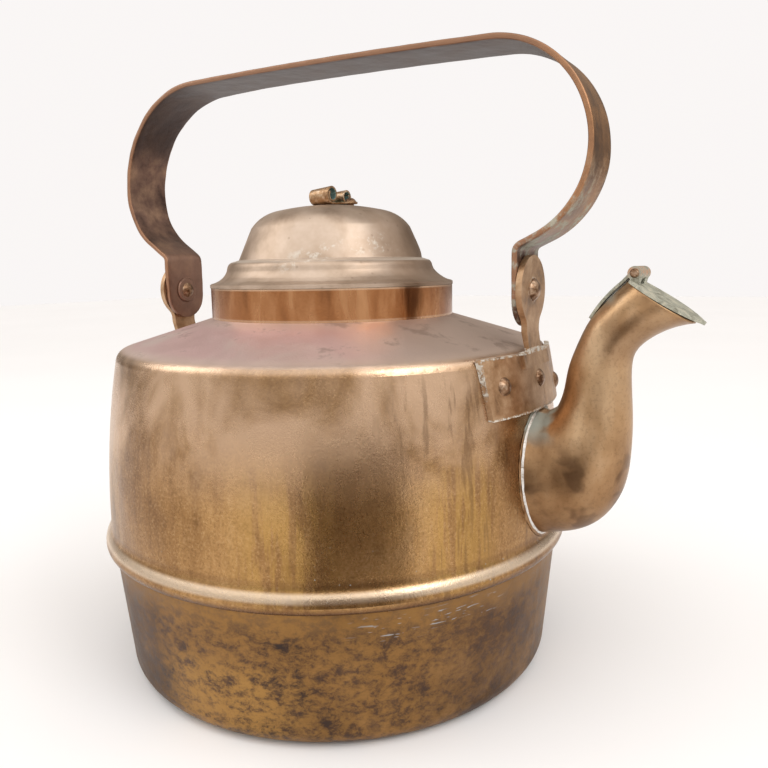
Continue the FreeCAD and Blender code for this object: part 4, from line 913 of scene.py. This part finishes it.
def makeRivets(sizes):
    for name, side in (("front", 1), ("rear", -1)):
        grids = []
        for number, (bearing, height) in enumerate(zip(sizes["bearings"], sizes["heights"])):
            turn = math.radians(bearing) + (math.pi if side < 0 else 0)
            lean = math.radians(sizes["lean"])
            across, up = math.cos(lean), math.sin(lean)
            normal = np.array([math.cos(turn) * across, math.sin(turn) * across, up])
            wall = wallRadius(height)
            seat = np.array([math.cos(turn) * wall, math.sin(turn) * wall, height])
            grids.append(placed(dome(sizes["head"], sizes["dome"], number + 5 * side + 10),
                                seat + normal * sizes["plate"], normal))
            grids.append(placed(dome(sizes["tail"], sizes["tailDome"], number + 30),
                                seat - normal * sizes["wall"], -normal))
        makePiece(name + "_ear_rivet_heads", grids, finishes["rivet_copper"], "kettle", "rivet_copper",
                  [name + "_ear_rivets"], sharp=60)
        outFace, inFace = sizes[name]
        heads = [placed(dome(sizes["pivotHead"], sizes["pivotDome"], 21 + side),
                        (side * outFace, 0, sizes["pivotHeight"]), (side, 0, 0)),
                 placed(dome(sizes["peen"], sizes["peenDome"], 25 + side, 2.0),
                        (side * inFace, 0, sizes["pivotHeight"]), (-side, 0, 0))]
        makePiece(name + "_pivot_rivet_heads", heads, finishes["rivet_copper"], "kettle", "rivet_copper",
                  [name + "_pivot_rivet"], sharp=60)


makeRivets(rivetSizes)
print("rivets made")


cameraPlace = dict(
    spot=(0.20138, -0.28347, 0.18026),  # metres from the middle of the underside
    heading=31.494,  # degrees to the left of +Y
    tilt=-9.11,      # degrees, downwards
    roll=-1.03,      # degrees
    lens=33.64,      # millimetres, on a 36 mm sensor
)

studioSizes = dict(
    paleness=(0.955, 0.925, 0.915),  # what shows behind the kettle
    # how strong the room is in the copper's reflections: behind the kettle, at its sides, in front
    behind=(0.26, 0.23, 0.20),
    softSide=(0.78, 0.77, 0.76),
    inFront=(0.70, 0.68, 0.66),
    overhead=2.0,  # how much paler it is straight above
    # place, size (metres), power (watts)
    lights=[((-0.75, -0.35, 0.75), 0.6, 1.3), ((0.8, -0.2, 0.8), 0.5, 2.2)],
    # a dark card before the kettle, seen only in reflections: distance, sideways, width, height
    card=(0.2, 0.037, 0.135, 0.115),
)


def makeCamera(place):
    data = bpy.data.cameras.new("camera")
    data.sensor_width = 36.0
    data.lens = place["lens"]
    data.clip_start = 0.01
    camera = bpy.data.objects.new("camera", data)
    bpy.context.scene.collection.objects.link(camera)
    turn = Matrix.Rotation(math.radians(place["heading"]), 4, "Z")
    nod = Matrix.Rotation(math.radians(90 + place["tilt"]), 4, "X")
    lean = Matrix.Rotation(math.radians(place["roll"]), 4, "Z")
    camera.matrix_world = Matrix.Translation(place["spot"]) @ turn @ nod @ lean
    bpy.context.scene.camera = camera


def makeWorld(sizes, place):
    # pale where it is seen; in reflections it darkens low down on the camera's side
    world = bpy.data.worlds.new("studio")
    bpy.context.scene.world = world
    world.use_nodes = True
    room = Nodes(world.node_tree)
    way = room.node("TexCoord", output="Generated")
    facing = math.radians(place["heading"] - 90)
    # -1 straight ahead of the camera, 1 straight behind it
    behind = room.node("VectorMath", {"operation": "DOT_PRODUCT"},
                       {0: way, 1: (math.cos(facing), math.sin(facing), -0.1)}, "Value")
    share = room.node("MapRange", {}, {"Value": behind, "From Min": -1.0})
    tones = (sizes["behind"], sizes["softSide"], sizes["softSide"], sizes["inFront"])
    stops = list(zip((0.22, 0.42, 0.8, 0.97), tones))
    around = room.node("ValToRGB", {"stops": stops}, {"Fac": share}, "Color")
    height = room.node("SeparateXYZ", {}, {"Vector": way}, "Z")
    rise = room.node("MapRange", {"interpolation_type": "SMOOTHSTEP"},
                     {"Value": height, "From Min": 0.12, "From Max": 0.75, "To Max": sizes["overhead"],
                      "To Min": 1.0})
    raised = room.node("VectorMath", {"operation": "SCALE"}, {0: around, "Scale": rise}, "Vector")
    seen = room.node("LightPath", output="Is Camera Ray")
    tone = room.node("Mix", {"data_type": "RGBA"},
                     {"Factor": seen, "A": raised, "B": withAlpha(sizes["paleness"])}, "Result")
    room.node("OutputWorld", {}, {"Surface": room.node("Background", {}, {"Color": tone}, "Background")})


def makeLights(rows):
    for number, (spot, size, power) in enumerate(rows):
        data = bpy.data.lights.new("soft_light_%d" % number, "AREA")
        data.shape = "DISK"
        data.size = size
        data.energy = power
        lamp = bpy.data.objects.new(data.name, data)
        bpy.context.scene.collection.objects.link(lamp)
        aim = Vector(spot) - Vector((0, 0, 0.12))
        lamp.matrix_world = Matrix.Translation(spot) @ aim.to_track_quat("Z", "Y").to_matrix().to_4x4()
        lamp.visible_camera = False


def makeCard(sizes, place):
    # stands upright, square to the camera's way of looking
    distance, sideways, width, height = sizes["card"]
    facing = math.radians(place["heading"] - 90)
    ahead = np.array([math.cos(facing), math.sin(facing), 0])
    right = np.array([-ahead[1], ahead[0], 0])
    middle = ahead * distance + right * sideways
    corners = [middle + right * side * width / 2 + np.array([0, 0, z])
               for side, z in ((-1, 0.002), (1, 0.002), (1, height), (-1, height))]
    mesh = bpy.data.meshes.new("dark_card")
    mesh.from_pydata([tuple(corner) for corner in corners], [], [(0, 1, 2, 3)])
    f = Finish("dark card")
    cloud = f.noise(0.1, 2)
    mesh.materials.append(f.finish(colour=f.mix(cloud, (0.2, 0.155, 0.125), (0.26, 0.21, 0.17)),
                                   rough=0.9 + cloud * 0.05))
    card = bpy.data.objects.new("dark_card", mesh)
    bpy.context.scene.collection.objects.link(card)
    card.visible_camera = False
    card.visible_diffuse = False
    card.visible_shadow = False


def makeFloor():
    f = Finish("pale floor")
    cloud = f.noise(0.3, 2)
    tone = f.mix(cloud, (0.90, 0.885, 0.88), (0.93, 0.915, 0.91))
    material = f.finish(colour=tone, rough=0.8 + cloud * 0.1)
    mesh = bpy.data.meshes.new("floor")
    mesh.from_pydata([(-4, -4, 0), (4, -4, 0), (4, 4, 0), (-4, 4, 0)], [], [(0, 1, 2, 3)])
    mesh.materials.append(material)
    floor = bpy.data.objects.new("floor", mesh)
    bpy.context.scene.collection.objects.link(floor)


makeCamera(cameraPlace)
makeWorld(studioSizes, cameraPlace)
makeLights(studioSizes["lights"])
makeCard(studioSizes, cameraPlace)
makeFloor()
bpy.context.scene.view_settings.view_transform = "Standard"
print("studio made")
